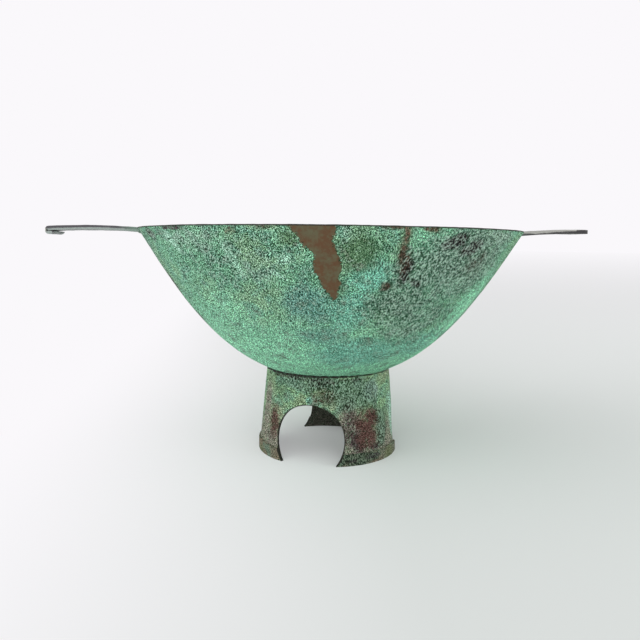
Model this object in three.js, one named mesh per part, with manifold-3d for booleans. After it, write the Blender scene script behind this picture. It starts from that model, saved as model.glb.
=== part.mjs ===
// Centrepiece bowl of patinated sheet metal: a spun bowl stands on a rolled conical foot with
// three arched openings, and carries a strap handle on its rim at each side.
// Millimetres and degrees, +Z up. The origin is on the bowl's axis, on the surface that it
// stands on, and the handles lie along X.

import * as THREE from "three";
import { mergeVertices } from "three/addons/utils/BufferGeometryUtils.js";
import Module from "manifold-3d";

// Bowl, one spun sheet
const RIM_RADIUS = 150; // outside
const BOWL_DEPTH = 119.2; // outside, from the rim plane down to the middle of the underside
const BOWL_WALL = 1.5;
const BOWL_STAND = 58.6; // from the table up to the middle of the underside
const FLANK_LEAN = 31.5; // lean of the wall at the rim, away from upright
const FLANK_REACH = 64; // pull of the curve along the flank, down from the rim
const BELLY_REACH = 80.5; // pull of the curve along the bottom, out from the axis

// Foot, a rolled cone with an arch between each two legs
const FOOT_RADIUS = 56.1; // outside, at the table
const FOOT_TAPER = 5.1; // lean of the wall inwards as it rises
const FOOT_WALL = 1.5;
const FOOT_TURN = 6; // turn of the left leg away from under the left handle
const ARCH_RADIUS = 28.2; // of the circle cut in the flat strip, before it is rolled
const ARCH_CENTRE = 17.4; // height of the arch's centre above the table
const LEGS = ["left", "front", "back"];

// Raised band round the base of each leg
const BAND_HEIGHT = 9;
const BAND_THICKNESS = 0.45; // at the table
const BAND_ROUND = 0.8; // rounding of its upper edge

// Strap handles, the left one with its end turned under in a short lip
const HANDLE_LENGTH = 66; // from the rim out to the tip
const HANDLE_THICKNESS = 3.3;
const HANDLE_RISE = 0.2; // from the rim plane up to the strap's upper face, at the root
const HANDLE_CROWN = 1.1; // rise above a straight line, midway
const ROOT_WIDTH = 44; // across, at the rim
const WAIST_WIDTH = 28; // across, at the narrowest
const WAIST_OUT = 14; // from the rim out to the narrowest place
const TIP_WIDTH = 31; // across, at the end
const TIP_ROUND = 3; // corner radius of the end, seen from above
const LIP_LENGTH = 7; // from the tip back
const LIP_THICKNESS = 1.6;
const LIP_GAP = 0.3; // between the strap and the lip, at the fold
const LIP_OPENING = 5; // angle at which the lip stands off the strap

// Each strap was bent by hand, so their slopes differ a little
const LEFT_LIFT = -0.2; // upward slope
const RIGHT_LIFT = 3;

// Fillets of filler metal
const FOOT_BRAZE = 5; // leg of the fillet inside the foot
const HANDLE_BRAZE = 1.8; // leg of the fillet under a strap

// Clearance between two pieces that meet
const GAP = 0.3;

// Fineness of the faceted surfaces
const ROUND_STEPS = 72; // round the axis
const PROFILE_STEPS = 18; // along the bowl's wall
const ARCH_STEPS = 48; // round a whole arch circle
const STRAP_STEPS = 8; // along a strap
const FOLD_STEPS = 6; // round the fold of a strap
const CORNER_STEPS = 4; // round a small corner
const WELD = 1e-4; // distance within which vertices are one

const wasm = await Module();
wasm.setup();

const radians = THREE.MathUtils.degToRad;
const rimHeight = BOWL_STAND + BOWL_DEPTH;
const handleReach = RIM_RADIUS + HANDLE_LENGTH;

// Solids

function solid(geometry) {
  const bare = geometry.clone();
  bare.deleteAttribute("normal");
  bare.deleteAttribute("uv");
  const merged = mergeVertices(bare, WELD);
  return new wasm.Manifold(
    new wasm.Mesh({
      numProp: 3,
      vertProperties: Float32Array.from(merged.attributes.position.array),
      triVerts: Uint32Array.from(merged.index.array),
    }),
  );
}

function surface(body) {
  const mesh = body.getMesh();
  const geometry = new THREE.BufferGeometry();
  geometry.setAttribute("position", new THREE.BufferAttribute(mesh.vertProperties, mesh.numProp));
  geometry.setIndex(new THREE.BufferAttribute(mesh.triVerts, 1));
  geometry.computeVertexNormals();
  return geometry;
}

// A profile of points (radius, height) turned about the vertical axis.
function turned(profile) {
  return new THREE.LatheGeometry(profile, ROUND_STEPS).rotateX(Math.PI / 2);
}

function closed(points) {
  return [...points, points[0]];
}

// A side view of points (x, z) drawn out to a width across Y, centred on the X axis.
function drawnAcross(points, width) {
  const slab = new THREE.ExtrudeGeometry(new THREE.Shape(points), {
    depth: width,
    bevelEnabled: false,
  });
  return slab.translate(0, 0, -width / 2).rotateX(Math.PI / 2);
}

// Value between low and high at which a rising function reaches zero.
function crossing(rising, low, high) {
  let [below, above] = [low, high];
  while (above - below > WELD / 10) {
    const middle = (below + above) / 2;
    if (rising(middle) < 0) {
      below = middle;
    } else {
      above = middle;
    }
  }
  return (below + above) / 2;
}

// Bowl

const lean = radians(FLANK_LEAN);
const bowlCurve = new THREE.CubicBezierCurve(
  new THREE.Vector2(0, BOWL_STAND),
  new THREE.Vector2(BELLY_REACH, BOWL_STAND),
  new THREE.Vector2(
    RIM_RADIUS - FLANK_REACH * Math.sin(lean),
    rimHeight - FLANK_REACH * Math.cos(lean),
  ),
  new THREE.Vector2(RIM_RADIUS, rimHeight),
);

// Point of the bowl's wall at a share of its curve, set off outwards by a distance.
function wallPoint(share, offset) {
  const point = bowlCurve.getPoint(share);
  const along = bowlCurve.getTangent(share);
  const place = new THREE.Vector2(point.x + along.y * offset, point.y - along.x * offset);
  return share === 0 ? place.setX(0) : place;
}

function wallLine(offset) {
  const shares = Array.from({ length: PROFILE_STEPS + 1 }, (_, i) => i / PROFILE_STEPS);
  return shares.map((share) => wallPoint(share, offset));
}

function undersideAt(radius) {
  const share = crossing((s) => bowlCurve.getPoint(s).x - radius, 0, 1);
  return bowlCurve.getPoint(share).y;
}

function wallRadiusAt(height) {
  const share = crossing((s) => bowlCurve.getPoint(s).y - height, 0, 1);
  return bowlCurve.getPoint(share).x;
}

function bowl() {
  const inside = wallLine(-BOWL_WALL);
  inside.pop();
  const lip = new THREE.Vector2(RIM_RADIUS - BOWL_WALL / Math.cos(lean), rimHeight);
  return turned([...wallLine(0), lip, ...inside.reverse()]);
}

// All the room that the bowl takes, its inside and the air above it included, with clearance.
function bowlRoom() {
  const wall = wallLine(GAP);
  const edge = wall[wall.length - 1];
  const top = rimHeight + handleReach;
  return solid(turned([...wall, new THREE.Vector2(edge.x, top), new THREE.Vector2(0, top)]));
}

// Foot

const taper = Math.tan(radians(FOOT_TAPER));
const legStep = 360 / LEGS.length;

function legAngle(index) {
  return 180 + FOOT_TURN + index * legStep;
}

function skirtOutside(height) {
  return FOOT_RADIUS - height * taper;
}

function skirtInside(height) {
  return skirtOutside(height) - FOOT_WALL;
}

// Height at which a wall that rises under the bowl comes within clearance of it.
function seatUnderBowl(radiusAt) {
  return crossing((z) => z + GAP - undersideAt(radiusAt(z)), 0, rimHeight);
}

// Bends a shape as the strip is rolled: lengths across X become arcs round the skirt.
function rolled(geometry) {
  const places = geometry.attributes.position;
  for (let i = 0; i < places.count; i += 1) {
    const [out, across, height] = [places.getX(i), places.getY(i), places.getZ(i)];
    const turn = across / skirtOutside(height);
    places.setXYZ(i, out * Math.cos(turn), out * Math.sin(turn), height);
  }
  return geometry;
}

function withArches(body) {
  const cutters = LEGS.map((_, index) => {
    const bar = new THREE.CylinderGeometry(ARCH_RADIUS, ARCH_RADIUS, FOOT_RADIUS, ARCH_STEPS)
      .rotateZ(-Math.PI / 2)
      .translate(FOOT_RADIUS, 0, ARCH_CENTRE);
    return solid(rolled(bar).rotateZ(radians(legAngle(index) + legStep / 2)));
  });
  return cutters.reduce((left, cutter) => left.subtract(cutter), body);
}

function footSkirt() {
  const outerTop = seatUnderBowl(skirtOutside);
  const innerTop = seatUnderBowl(skirtInside);
  const section = [
    new THREE.Vector2(skirtOutside(0), 0),
    new THREE.Vector2(skirtOutside(outerTop), outerTop),
    new THREE.Vector2(skirtInside(innerTop), innerTop),
    new THREE.Vector2(skirtInside(0), 0),
  ];
  return surface(withArches(solid(turned(closed(section)))));
}

// Plumb outside, rounded at its upper edge, its inside lying along the skirt.
function bandRing() {
  const outside = FOOT_RADIUS + GAP + BAND_THICKNESS;
  const shoulder = Array.from({ length: CORNER_STEPS + 1 }, (_, i) => {
    const turn = (i / CORNER_STEPS) * (Math.PI / 2);
    return new THREE.Vector2(
      outside - BAND_ROUND + BAND_ROUND * Math.cos(turn),
      BAND_HEIGHT - BAND_ROUND + BAND_ROUND * Math.sin(turn),
    );
  });
  const section = [
    new THREE.Vector2(skirtOutside(0) + GAP, 0),
    new THREE.Vector2(outside, 0),
    ...shoulder,
    new THREE.Vector2(skirtOutside(BAND_HEIGHT) + GAP, BAND_HEIGHT),
  ];
  return solid(turned(closed(section)));
}

// Wedge of the space round the foot that holds one leg.
function legSector(index) {
  const reach = 2 * (FOOT_RADIUS + GAP + BAND_THICKNESS);
  const corners = [-1, 1].map((side) => {
    const angle = radians(legAngle(index) + (side * legStep) / 2);
    return new THREE.Vector2(reach * Math.cos(angle), reach * Math.sin(angle));
  });
  const wedge = new THREE.Shape([new THREE.Vector2(0, 0), ...corners]);
  const depth = 3 * BAND_HEIGHT;
  return solid(
    new THREE.ExtrudeGeometry(wedge, { depth, bevelEnabled: false }).translate(0, 0, -BAND_HEIGHT),
  );
}

function footBand(index) {
  return surface(withArches(bandRing()).intersect(legSector(index)));
}

// Fillet in the corner between the inside of the foot and the bowl's underside.
function footBraze() {
  const wall = (height) => skirtInside(height) - GAP;
  const top = seatUnderBowl(wall);
  const inner = wall(top) - FOOT_BRAZE;
  const section = [
    new THREE.Vector2(wall(top), top),
    new THREE.Vector2(inner, undersideAt(inner) - GAP),
    new THREE.Vector2(wall(top - FOOT_BRAZE), top - FOOT_BRAZE),
  ];
  return turned(closed(section));
}

// Handles, drawn pointing along +X

const leftBend = { lift: LEFT_LIFT, tip: foldedTip };
const rightBend = { lift: RIGHT_LIFT, tip: squareTip };
const rootHalf = ROOT_WIDTH / 2;
const rootStart = Math.sqrt(RIM_RADIUS ** 2 - rootHalf ** 2) - 2 * HANDLE_THICKNESS;

// Height of a strap's upper face at a distance from the axis.
function strapTop(x, { lift }) {
  const share = (x - RIM_RADIUS) / HANDLE_LENGTH;
  const line = rimHeight + HANDLE_RISE + (x - RIM_RADIUS) * Math.tan(radians(lift));
  return line + 4 * HANDLE_CROWN * share * (1 - share);
}

// Upper face of a strap from its root to an end, set down by a distance.
function strapLine(bend, end, drop) {
  return Array.from({ length: STRAP_STEPS + 1 }, (_, i) => {
    const x = THREE.MathUtils.lerp(rootStart, end, i / STRAP_STEPS);
    return new THREE.Vector2(x, strapTop(x, bend) - drop);
  });
}

function squareTip(bend) {
  const lower = strapLine(bend, handleReach, HANDLE_THICKNESS);
  return [...strapLine(bend, handleReach, 0), ...lower.reverse()];
}

// Round the fold, back along the lip to its end, and out again along the slot above it.
function foldedTip(bend) {
  const outerRadius = (HANDLE_THICKNESS + LIP_GAP + LIP_THICKNESS) / 2;
  const slotRadius = LIP_GAP / 2;
  const foldStart = handleReach - outerRadius;
  const opening = radians(LIP_OPENING);
  const top = strapTop(foldStart, bend);
  const arc = (radius, height) =>
    Array.from({ length: FOLD_STEPS }, (_, i) => {
      const turn = Math.PI / 2 - ((i + 1) / FOLD_STEPS) * (Math.PI - opening);
      return new THREE.Vector2(
        foldStart + radius * Math.cos(turn),
        height + radius * Math.sin(turn),
      );
    });
  const outer = arc(outerRadius, top - outerRadius);
  const slot = arc(slotRadius, top - HANDLE_THICKNESS - slotRadius).reverse();
  const run = LIP_LENGTH - outerRadius;
  const back = new THREE.Vector2(-Math.cos(opening), -Math.sin(opening)).multiplyScalar(run);
  const lower = strapLine(bend, foldStart, HANDLE_THICKNESS);
  return [
    ...strapLine(bend, foldStart, 0),
    ...outer,
    outer[FOLD_STEPS - 1].clone().add(back),
    slot[0].clone().add(back),
    ...slot,
    ...lower.reverse(),
  ];
}

// Plan view of the strap: flared root, waist, and a tip with rounded corners.
function strapPlan() {
  const waistX = RIM_RADIUS + WAIST_OUT;
  const waistHalf = WAIST_WIDTH / 2;
  const tipHalf = TIP_WIDTH / 2;
  const tipX = handleReach + GAP;
  const flare = waistX - rootStart;
  const run = tipX - TIP_ROUND - waistX;
  const plan = new THREE.Shape();
  plan.moveTo(rootStart, -rootHalf);
  plan.bezierCurveTo(
    rootStart + flare / 2, -rootHalf,
    waistX - flare / 2, -waistHalf,
    waistX, -waistHalf,
  );
  plan.bezierCurveTo(
    waistX + run / 2, -waistHalf,
    waistX + run / 2, -tipHalf,
    waistX + run, -tipHalf,
  );
  plan.absarc(tipX - TIP_ROUND, TIP_ROUND - tipHalf, TIP_ROUND, -Math.PI / 2, 0);
  plan.absarc(tipX - TIP_ROUND, tipHalf - TIP_ROUND, TIP_ROUND, 0, Math.PI / 2);
  plan.bezierCurveTo(
    waistX + run / 2, tipHalf,
    waistX + run / 2, waistHalf,
    waistX, waistHalf,
  );
  plan.bezierCurveTo(
    waistX - flare / 2, waistHalf,
    rootStart + flare / 2, rootHalf,
    rootStart, rootHalf,
  );
  const depth = 2 * handleReach;
  return solid(
    new THREE.ExtrudeGeometry(plan, { depth, bevelEnabled: false, curveSegments: STRAP_STEPS })
      .translate(0, 0, rimHeight - handleReach),
  );
}

function handle(bend) {
  const width = 2 * Math.max(ROOT_WIDTH, TIP_WIDTH);
  const strap = solid(drawnAcross(bend.tip(bend), width));
  return surface(strap.intersect(strapPlan()).subtract(bowlRoom()));
}

// Room above the lower face of a strap, with clearance.
function roomAboveStrap(bend) {
  const lower = strapLine(bend, handleReach, HANDLE_THICKNESS + GAP);
  const top = rimHeight + handleReach;
  const points = [
    ...lower,
    new THREE.Vector2(handleReach, top),
    new THREE.Vector2(rootStart, top),
  ];
  return solid(drawnAcross(points, 2 * ROOT_WIDTH));
}

// Fillet in the corner between the lower face of a strap and the bowl's wall.
function handleBraze(bend) {
  const under = rimHeight + HANDLE_RISE - HANDLE_THICKNESS;
  const foot = wallRadiusAt(under - HANDLE_BRAZE);
  const behind = foot - HANDLE_BRAZE;
  const out = wallRadiusAt(under) + HANDLE_BRAZE;
  const section = [
    new THREE.Vector2(behind, under - HANDLE_BRAZE),
    new THREE.Vector2(foot + 2 * GAP, under - HANDLE_BRAZE),
    new THREE.Vector2(out, under - GAP),
    new THREE.Vector2(out, under + HANDLE_BRAZE),
    new THREE.Vector2(behind, under + HANDLE_BRAZE),
  ];
  const length = ROOT_WIDTH - 2 * HANDLE_BRAZE;
  const ends = [
    new THREE.Vector2(rootStart / 2, 0),
    new THREE.Vector2(handleReach, 0),
    new THREE.Vector2(handleReach, 2 * rimHeight),
    new THREE.Vector2(rootStart / 2, 2 * rimHeight),
  ];
  const bead = solid(turned(closed(section))).intersect(solid(drawnAcross(ends, length)));
  return surface(bead.subtract(bowlRoom()).subtract(roomAboveStrap(bend)));
}

// Assembly

function piece(name, geometry, color, roughness, metalness) {
  const finish = new THREE.MeshStandardMaterial({ color, roughness, metalness });
  const mesh = new THREE.Mesh(geometry, finish);
  mesh.name = name;
  return mesh;
}

const VERDIGRIS = 0x6b9277;
const FOOT_VERDIGRIS = 0x677f66;
const BAND_BRONZE = 0x575c4c;
const STRAP_GREY = 0x7b7f7c;
const BRAZE_DARK = 0x3c3a30;

function footAssembly() {
  const foot = new THREE.Group();
  foot.add(piece("foot_skirt", footSkirt(), FOOT_VERDIGRIS, 0.75, 0.35));
  LEGS.forEach((leg, index) => {
    foot.add(piece(`foot_band_${leg}`, footBand(index), BAND_BRONZE, 0.65, 0.5));
  });
  foot.add(piece("foot_braze", footBraze(), BRAZE_DARK, 0.8, 0.4));
  return foot;
}

function handleAssembly(side, bend, turn) {
  const group = new THREE.Group();
  group.add(piece(`handle_${side}`, handle(bend), STRAP_GREY, 0.5, 0.7));
  group.add(piece(`handle_braze_${side}`, handleBraze(bend), BRAZE_DARK, 0.8, 0.4));
  group.rotation.z = radians(turn);
  return group;
}

const centrepiece = new THREE.Group();
centrepiece.add(piece("bowl", bowl(), VERDIGRIS, 0.8, 0.25));
centrepiece.add(footAssembly());
centrepiece.add(handleAssembly("left", leftBend, 180));
centrepiece.add(handleAssembly("right", rightBend, 0));

export default centrepiece;
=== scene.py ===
"""Looks of a patinated sheet-metal centrepiece bowl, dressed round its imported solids.

The bowl is spun from copper-alloy sheet and has a green verdigris crust, worn through to brown
metal in streaks. It stands on a rolled foot, cut into three legs by round arches, and carries a
forged strap handle at each side. Sizes are in millimetres and degrees, in the part's own frame.
Azimuths are counted from +X towards +Y, so the front of the bowl is near 261 degrees.
"""

import logging
import math
import random
from collections.abc import Callable, Iterable, Iterator, Sequence
from contextlib import contextmanager
from dataclasses import dataclass
from enum import Enum
from functools import cached_property
from typing import Any, NamedTuple

import bpy
import numpy as np
from mathutils import Matrix, Vector

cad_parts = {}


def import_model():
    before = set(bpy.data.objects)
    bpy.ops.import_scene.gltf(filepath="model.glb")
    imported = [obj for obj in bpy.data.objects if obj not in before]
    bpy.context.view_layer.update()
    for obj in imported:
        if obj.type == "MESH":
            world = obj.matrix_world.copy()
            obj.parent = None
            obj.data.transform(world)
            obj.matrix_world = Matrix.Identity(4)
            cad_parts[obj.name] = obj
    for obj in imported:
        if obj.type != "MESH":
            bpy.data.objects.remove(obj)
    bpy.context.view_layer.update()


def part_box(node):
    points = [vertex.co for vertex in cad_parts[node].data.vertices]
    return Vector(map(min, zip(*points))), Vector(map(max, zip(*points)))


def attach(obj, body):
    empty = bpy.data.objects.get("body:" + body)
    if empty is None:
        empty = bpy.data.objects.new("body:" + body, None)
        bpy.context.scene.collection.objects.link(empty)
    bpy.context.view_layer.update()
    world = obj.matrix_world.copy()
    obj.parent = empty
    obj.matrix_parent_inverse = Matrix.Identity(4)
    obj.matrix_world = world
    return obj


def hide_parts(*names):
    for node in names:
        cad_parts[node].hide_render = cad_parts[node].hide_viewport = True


Piece = bpy.types.Object
Tree = bpy.types.NodeTree
Socket = bpy.types.NodeSocket
Point = tuple[float, float]  # distance from the axis, or azimuth, and height

MM = 0.001  # metres in a millimetre
WELD = 1e-6  # metres within which two vertices are one
FULL_TURN = 360.0
QUARTER = math.pi / 2
BODY = "root"  # nothing moves, so every piece rides on the one body
FLOW_LAYER = "flow"  # vertex attribute that the grains follow
MIX_FACTOR, MIX_UNDER, MIX_OVER, MIX_RESULT = 0, 6, 7, 2  # sockets of a node that mixes colours
LOG = logging.getLogger("centrepiece")


def linear(code: str) -> tuple[float, float, float, float]:
    """Turns an sRGB hex colour into linear red, green, blue and alpha.

    Args:
        code: six hex digits after a hash sign.

    Returns:
        Linear components, with alpha 1.
    """
    shares = [int(code[start : start + 2], 16) / 255 for start in (1, 3, 5)]
    red, green, blue = (
        share / 12.92 if share <= 0.04045 else ((share + 0.055) / 1.055) ** 2.4 for share in shares
    )
    return red, green, blue, 1.0


def add_node(
    tree: Tree, kind: str, inputs: dict[Any, Any] | None = None, **settings: Any
) -> bpy.types.Node:
    """Adds a node, sets its settings, and fills or links its inputs.

    Args:
        tree: node tree that gets the node.
        kind: name of the node's type.
        inputs: socket name or number, to a value, a hex colour or another node's output.
        settings: attributes of the node.

    Returns:
        The new node.
    """
    node = tree.nodes.new(kind)
    for name, value in settings.items():
        setattr(node, name, value)
    for key, value in (inputs or {}).items():
        if isinstance(value, Socket):
            tree.links.new(value, node.inputs[key])
        else:
            node.inputs[key].default_value = linear(value) if isinstance(value, str) else value
    return node


def new_tree(owner: bpy.types.Material | bpy.types.World) -> Tree:
    """Gives a material or world an empty node tree.

    Args:
        owner: what the nodes belong to.

    Returns:
        The cleared tree.
    """
    owner.use_nodes = True
    owner.node_tree.nodes.clear()
    return owner.node_tree


def clamp(value: float) -> float:
    """Keeps a share between 0 and 1."""
    return min(max(value, 0.0), 1.0)


def shorter_turn(start: float, azimuth: Any) -> Any:
    """Finds the shorter turn from one azimuth to another, or to many."""
    return (azimuth - start + 180.0) % FULL_TURN - 180.0


def arc(x: float, z: float, radius: float, start: float, sweep: float, steps: int) -> list[Point]:
    """Draws an arc about a centre in the XZ plane, from a start through a sweep in radians."""
    turns = [start + sweep * i / steps for i in range(steps + 1)]
    return [(x + radius * math.cos(turn), z + radius * math.sin(turn)) for turn in turns]


class Tone(Enum):
    """Kinds of patch in the patina.

    Each holds the name of its vertex attribute, and then how far its edge is frayed by soft
    clouds, by clumps and by single grains, and how wide the edge itself is.
    """

    SEA = "sea", 1.2, 0.4, 0.2, 0.5  # blue-green crust
    FRESH = "fresh", 0.8, 0.2, 0.1, 0.6  # clear light green crust
    LEAF = "leaf", 1.2, 0.5, 0.2, 0.65  # deep yellow-green crust
    DULL = "dull", 1.2, 0.7, 0.4, 0.5  # grey-brown film
    STEEL = "steel", 1.2, 0.3, 0.2, 0.55  # blue-grey film
    PALE = "pale", 1.2, 0.6, 0.4, 0.4  # chalky light crust
    RUST = "rust", 1.3, 1.0, 0.6, 0.5  # red-brown oxide
    OXIDE = "oxide", 0.9, 1.2, 1.0, 0.3  # purple-black oxide
    SPECKLE = "speckle", 1.6, 0.4, 0.0, 0.5  # dense dark grains
    CALM = "calm", 1.0, 0.0, 0.0, 0.6  # few grains
    BARE = "bare", 1.0, 1.0, 0.6, 0.08  # worn to the metal
    # EDGE is a dark edge: worn, and on the bowl's rim partly painted shade.
    EDGE = "edge", 0.3, 0.2, 0.0, 0.3  # dark worn edge
    INSIDE = "inside", 0.0, 0.0, 0.0, 0.3  # faces the inside

    def __new__(cls, label: str, *fraying: float) -> "Tone":
        """Makes a tone.

        Args:
            label: name of its attribute, which becomes its value.
            fraying: soft, mealy and fine fraying of its edge, and the edge's width.

        Returns:
            The tone.
        """
        tone = object.__new__(cls)
        tone._value_ = label
        tone.fraying = fraying
        return tone


@dataclass(frozen=True)
class Patch:
    """One oval patch of a tone on a round wall."""

    tone: Tone
    azimuth: float
    height: float
    half_width: float
    half_height: float
    strength: float = 1.0
    tilt: float = 0.0
    inner: bool = False

    @classmethod
    def listed(cls, rows: dict[Tone, Sequence[tuple[float, ...]]]) -> "list[Patch]":
        """Makes patches from rows of azimuth, height, half width, half height, strength and tilt."""
        return [cls(tone, *row) for tone, places in rows.items() for row in places]


class Bench:
    """Modelling steps that the pieces share, each done with Blender's own operators."""

    @staticmethod
    def clear() -> None:
        """Deselects everything, so that the next step acts on its own piece alone."""
        bpy.ops.object.select_all(action="DESELECT")

    @staticmethod
    def take(piece: Piece) -> None:
        """Makes one piece the selected and active one.

        Args:
            piece: piece that the next steps act on.
        """
        Bench.clear()
        piece.select_set(True)
        bpy.context.view_layer.objects.active = piece

    @staticmethod
    @contextmanager
    def editing(piece: Piece, everything: bool = True) -> Iterator[None]:
        """Opens a piece in edit mode for a block of steps.

        Args:
            piece: piece that is edited.
            everything: whether all of it is selected first.

        Yields:
            Nothing, while the piece is open.
        """
        Bench.take(piece)
        bpy.ops.object.mode_set(mode="EDIT")
        if everything:
            bpy.ops.mesh.select_all(action="SELECT")
        yield
        bpy.ops.object.mode_set(mode="OBJECT")

    @staticmethod
    def chain(name: str, points: Sequence[Point], closed: bool = False) -> Piece:
        """Draws a section by extruding one vertex from point to point in the XZ plane.

        Args:
            name: name of the new piece.
            points: distance from the axis and height of each point.
            closed: whether the last point joins the first.

        Returns:
            The piece, a chain of edges.
        """
        places = [Vector((x * MM, 0, z * MM)) for x, z in points]
        Bench.clear()
        bpy.ops.mesh.primitive_plane_add(size=MM, location=(0, 0, 0))
        piece = bpy.context.object
        piece.name = name
        with Bench.editing(piece):
            bpy.ops.mesh.merge(type="CENTER")
            bpy.ops.transform.translate(value=places[0])
            for here, there in zip(places, places[1:]):
                bpy.ops.mesh.extrude_region_move(TRANSFORM_OT_translate={"value": there - here})
        if closed:
            ends = (places[0], places[-1])
            for vertex in piece.data.vertices:
                vertex.select = any((vertex.co - end).length < WELD for end in ends)
            with Bench.editing(piece, everything=False):
                bpy.ops.mesh.edge_face_add()
        return piece

    @staticmethod
    def spin(piece: Piece, steps: int, start: float = 0.0, sweep: float = FULL_TURN) -> None:
        """Spins a section about the vertical axis into a closed skin.

        Args:
            piece: chain of edges in the XZ plane.
            steps: faces round the sweep.
            start: azimuth of the section.
            sweep: angle that it turns through, clockwise as seen from above.
        """
        piece.data.transform(Matrix.Rotation(math.radians(start), 4, "Z"))
        with Bench.editing(piece):
            bpy.ops.mesh.spin(
                steps=steps, angle=math.radians(sweep), center=(0, 0, 0), axis=(0, 0, 1)
            )
            bpy.ops.mesh.select_all(action="SELECT")
            bpy.ops.mesh.remove_doubles(threshold=WELD)
            if sweep < FULL_TURN:
                bpy.ops.mesh.fill_holes(sides=0)
            bpy.ops.mesh.select_all(action="SELECT")
            bpy.ops.mesh.normals_make_consistent(inside=False)

    @staticmethod
    def apply(piece: Piece, kind: str, **settings: Any) -> None:
        """Adds a modifier with its settings and applies it.

        Args:
            piece: piece that is modified.
            kind: type of the modifier.
            settings: attributes of the modifier.
        """
        Bench.take(piece)
        modifier = piece.modifiers.new(kind.lower(), kind)
        for name, value in settings.items():
            setattr(modifier, name, value)
        bpy.ops.object.modifier_apply(modifier=modifier.name)

    @staticmethod
    def cut(piece: Piece, cutter: Piece) -> None:
        """Takes the room of another shape out of a piece."""
        Bench.apply(piece, "BOOLEAN", operation="DIFFERENCE", object=cutter, solver="EXACT")

    @staticmethod
    def round_edges(piece: Piece, width: float, segments: int, angle: float) -> None:
        """Bevels the edges of a piece that turn by more than an angle."""
        limit = {"limit_method": "ANGLE", "angle_limit": math.radians(angle)}
        Bench.apply(piece, "BEVEL", width=width * MM, segments=segments, **limit)

    @staticmethod
    def clean(piece: Piece, sliver: float) -> None:
        """Welds the slivers that a cut or a bevel leaves, and splits faces of many corners.

        Args:
            piece: piece that was cut.
            sliver: width below which a face is welded shut.
        """
        with Bench.editing(piece):
            bpy.ops.mesh.remove_doubles(threshold=sliver * MM)
            bpy.ops.mesh.dissolve_degenerate(threshold=sliver * MM)
            bpy.ops.mesh.select_all(action="DESELECT")
            bpy.ops.mesh.select_face_by_sides(number=4, type="GREATER")
            bpy.ops.mesh.quads_convert_to_tris()

    @staticmethod
    def drop(pieces: Iterable[Piece]) -> None:
        """Deletes helper shapes that have done their work."""
        for piece in pieces:
            bpy.data.objects.remove(piece)

    @staticmethod
    def roughen(piece: Piece, lump: float, rise: float, group: str = "") -> None:
        """Raises the surface in lumps of a real size.

        Args:
            piece: piece that is roughened.
            lump: size of a lump.
            rise: difference between the lowest and the highest place.
            group: vertex group that limits it, or none.
        """
        cloud = bpy.data.textures.new(f"lumps_{lump:g}", "CLOUDS")
        cloud.noise_scale = lump * MM
        cloud.noise_depth = 2
        settings = {"texture": cloud, "texture_coords": "LOCAL", "vertex_group": group}
        Bench.apply(piece, "DISPLACE", strength=rise * MM, mid_level=0.5, **settings)

    @staticmethod
    def smooth(piece: Piece, angle: float = 40.0) -> None:
        """Shades a piece smooth, with its sharp edges kept."""
        Bench.take(piece)
        bpy.ops.object.shade_smooth_by_angle(angle=math.radians(angle))

    @staticmethod
    def settle(
        piece: Piece, slot: str, finish: bpy.types.Material, nodes: Sequence[str] = ()
    ) -> None:
        """Dresses a finished piece and fixes it to the part.

        Args:
            piece: finished piece.
            slot: material slot of the record; not used.
            finish: its material.
            nodes: solids that it stands for.
        """
        piece.data.materials.clear()
        piece.data.materials.append(finish)
        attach(piece, BODY)
        if nodes:
            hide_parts(*nodes)


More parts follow.
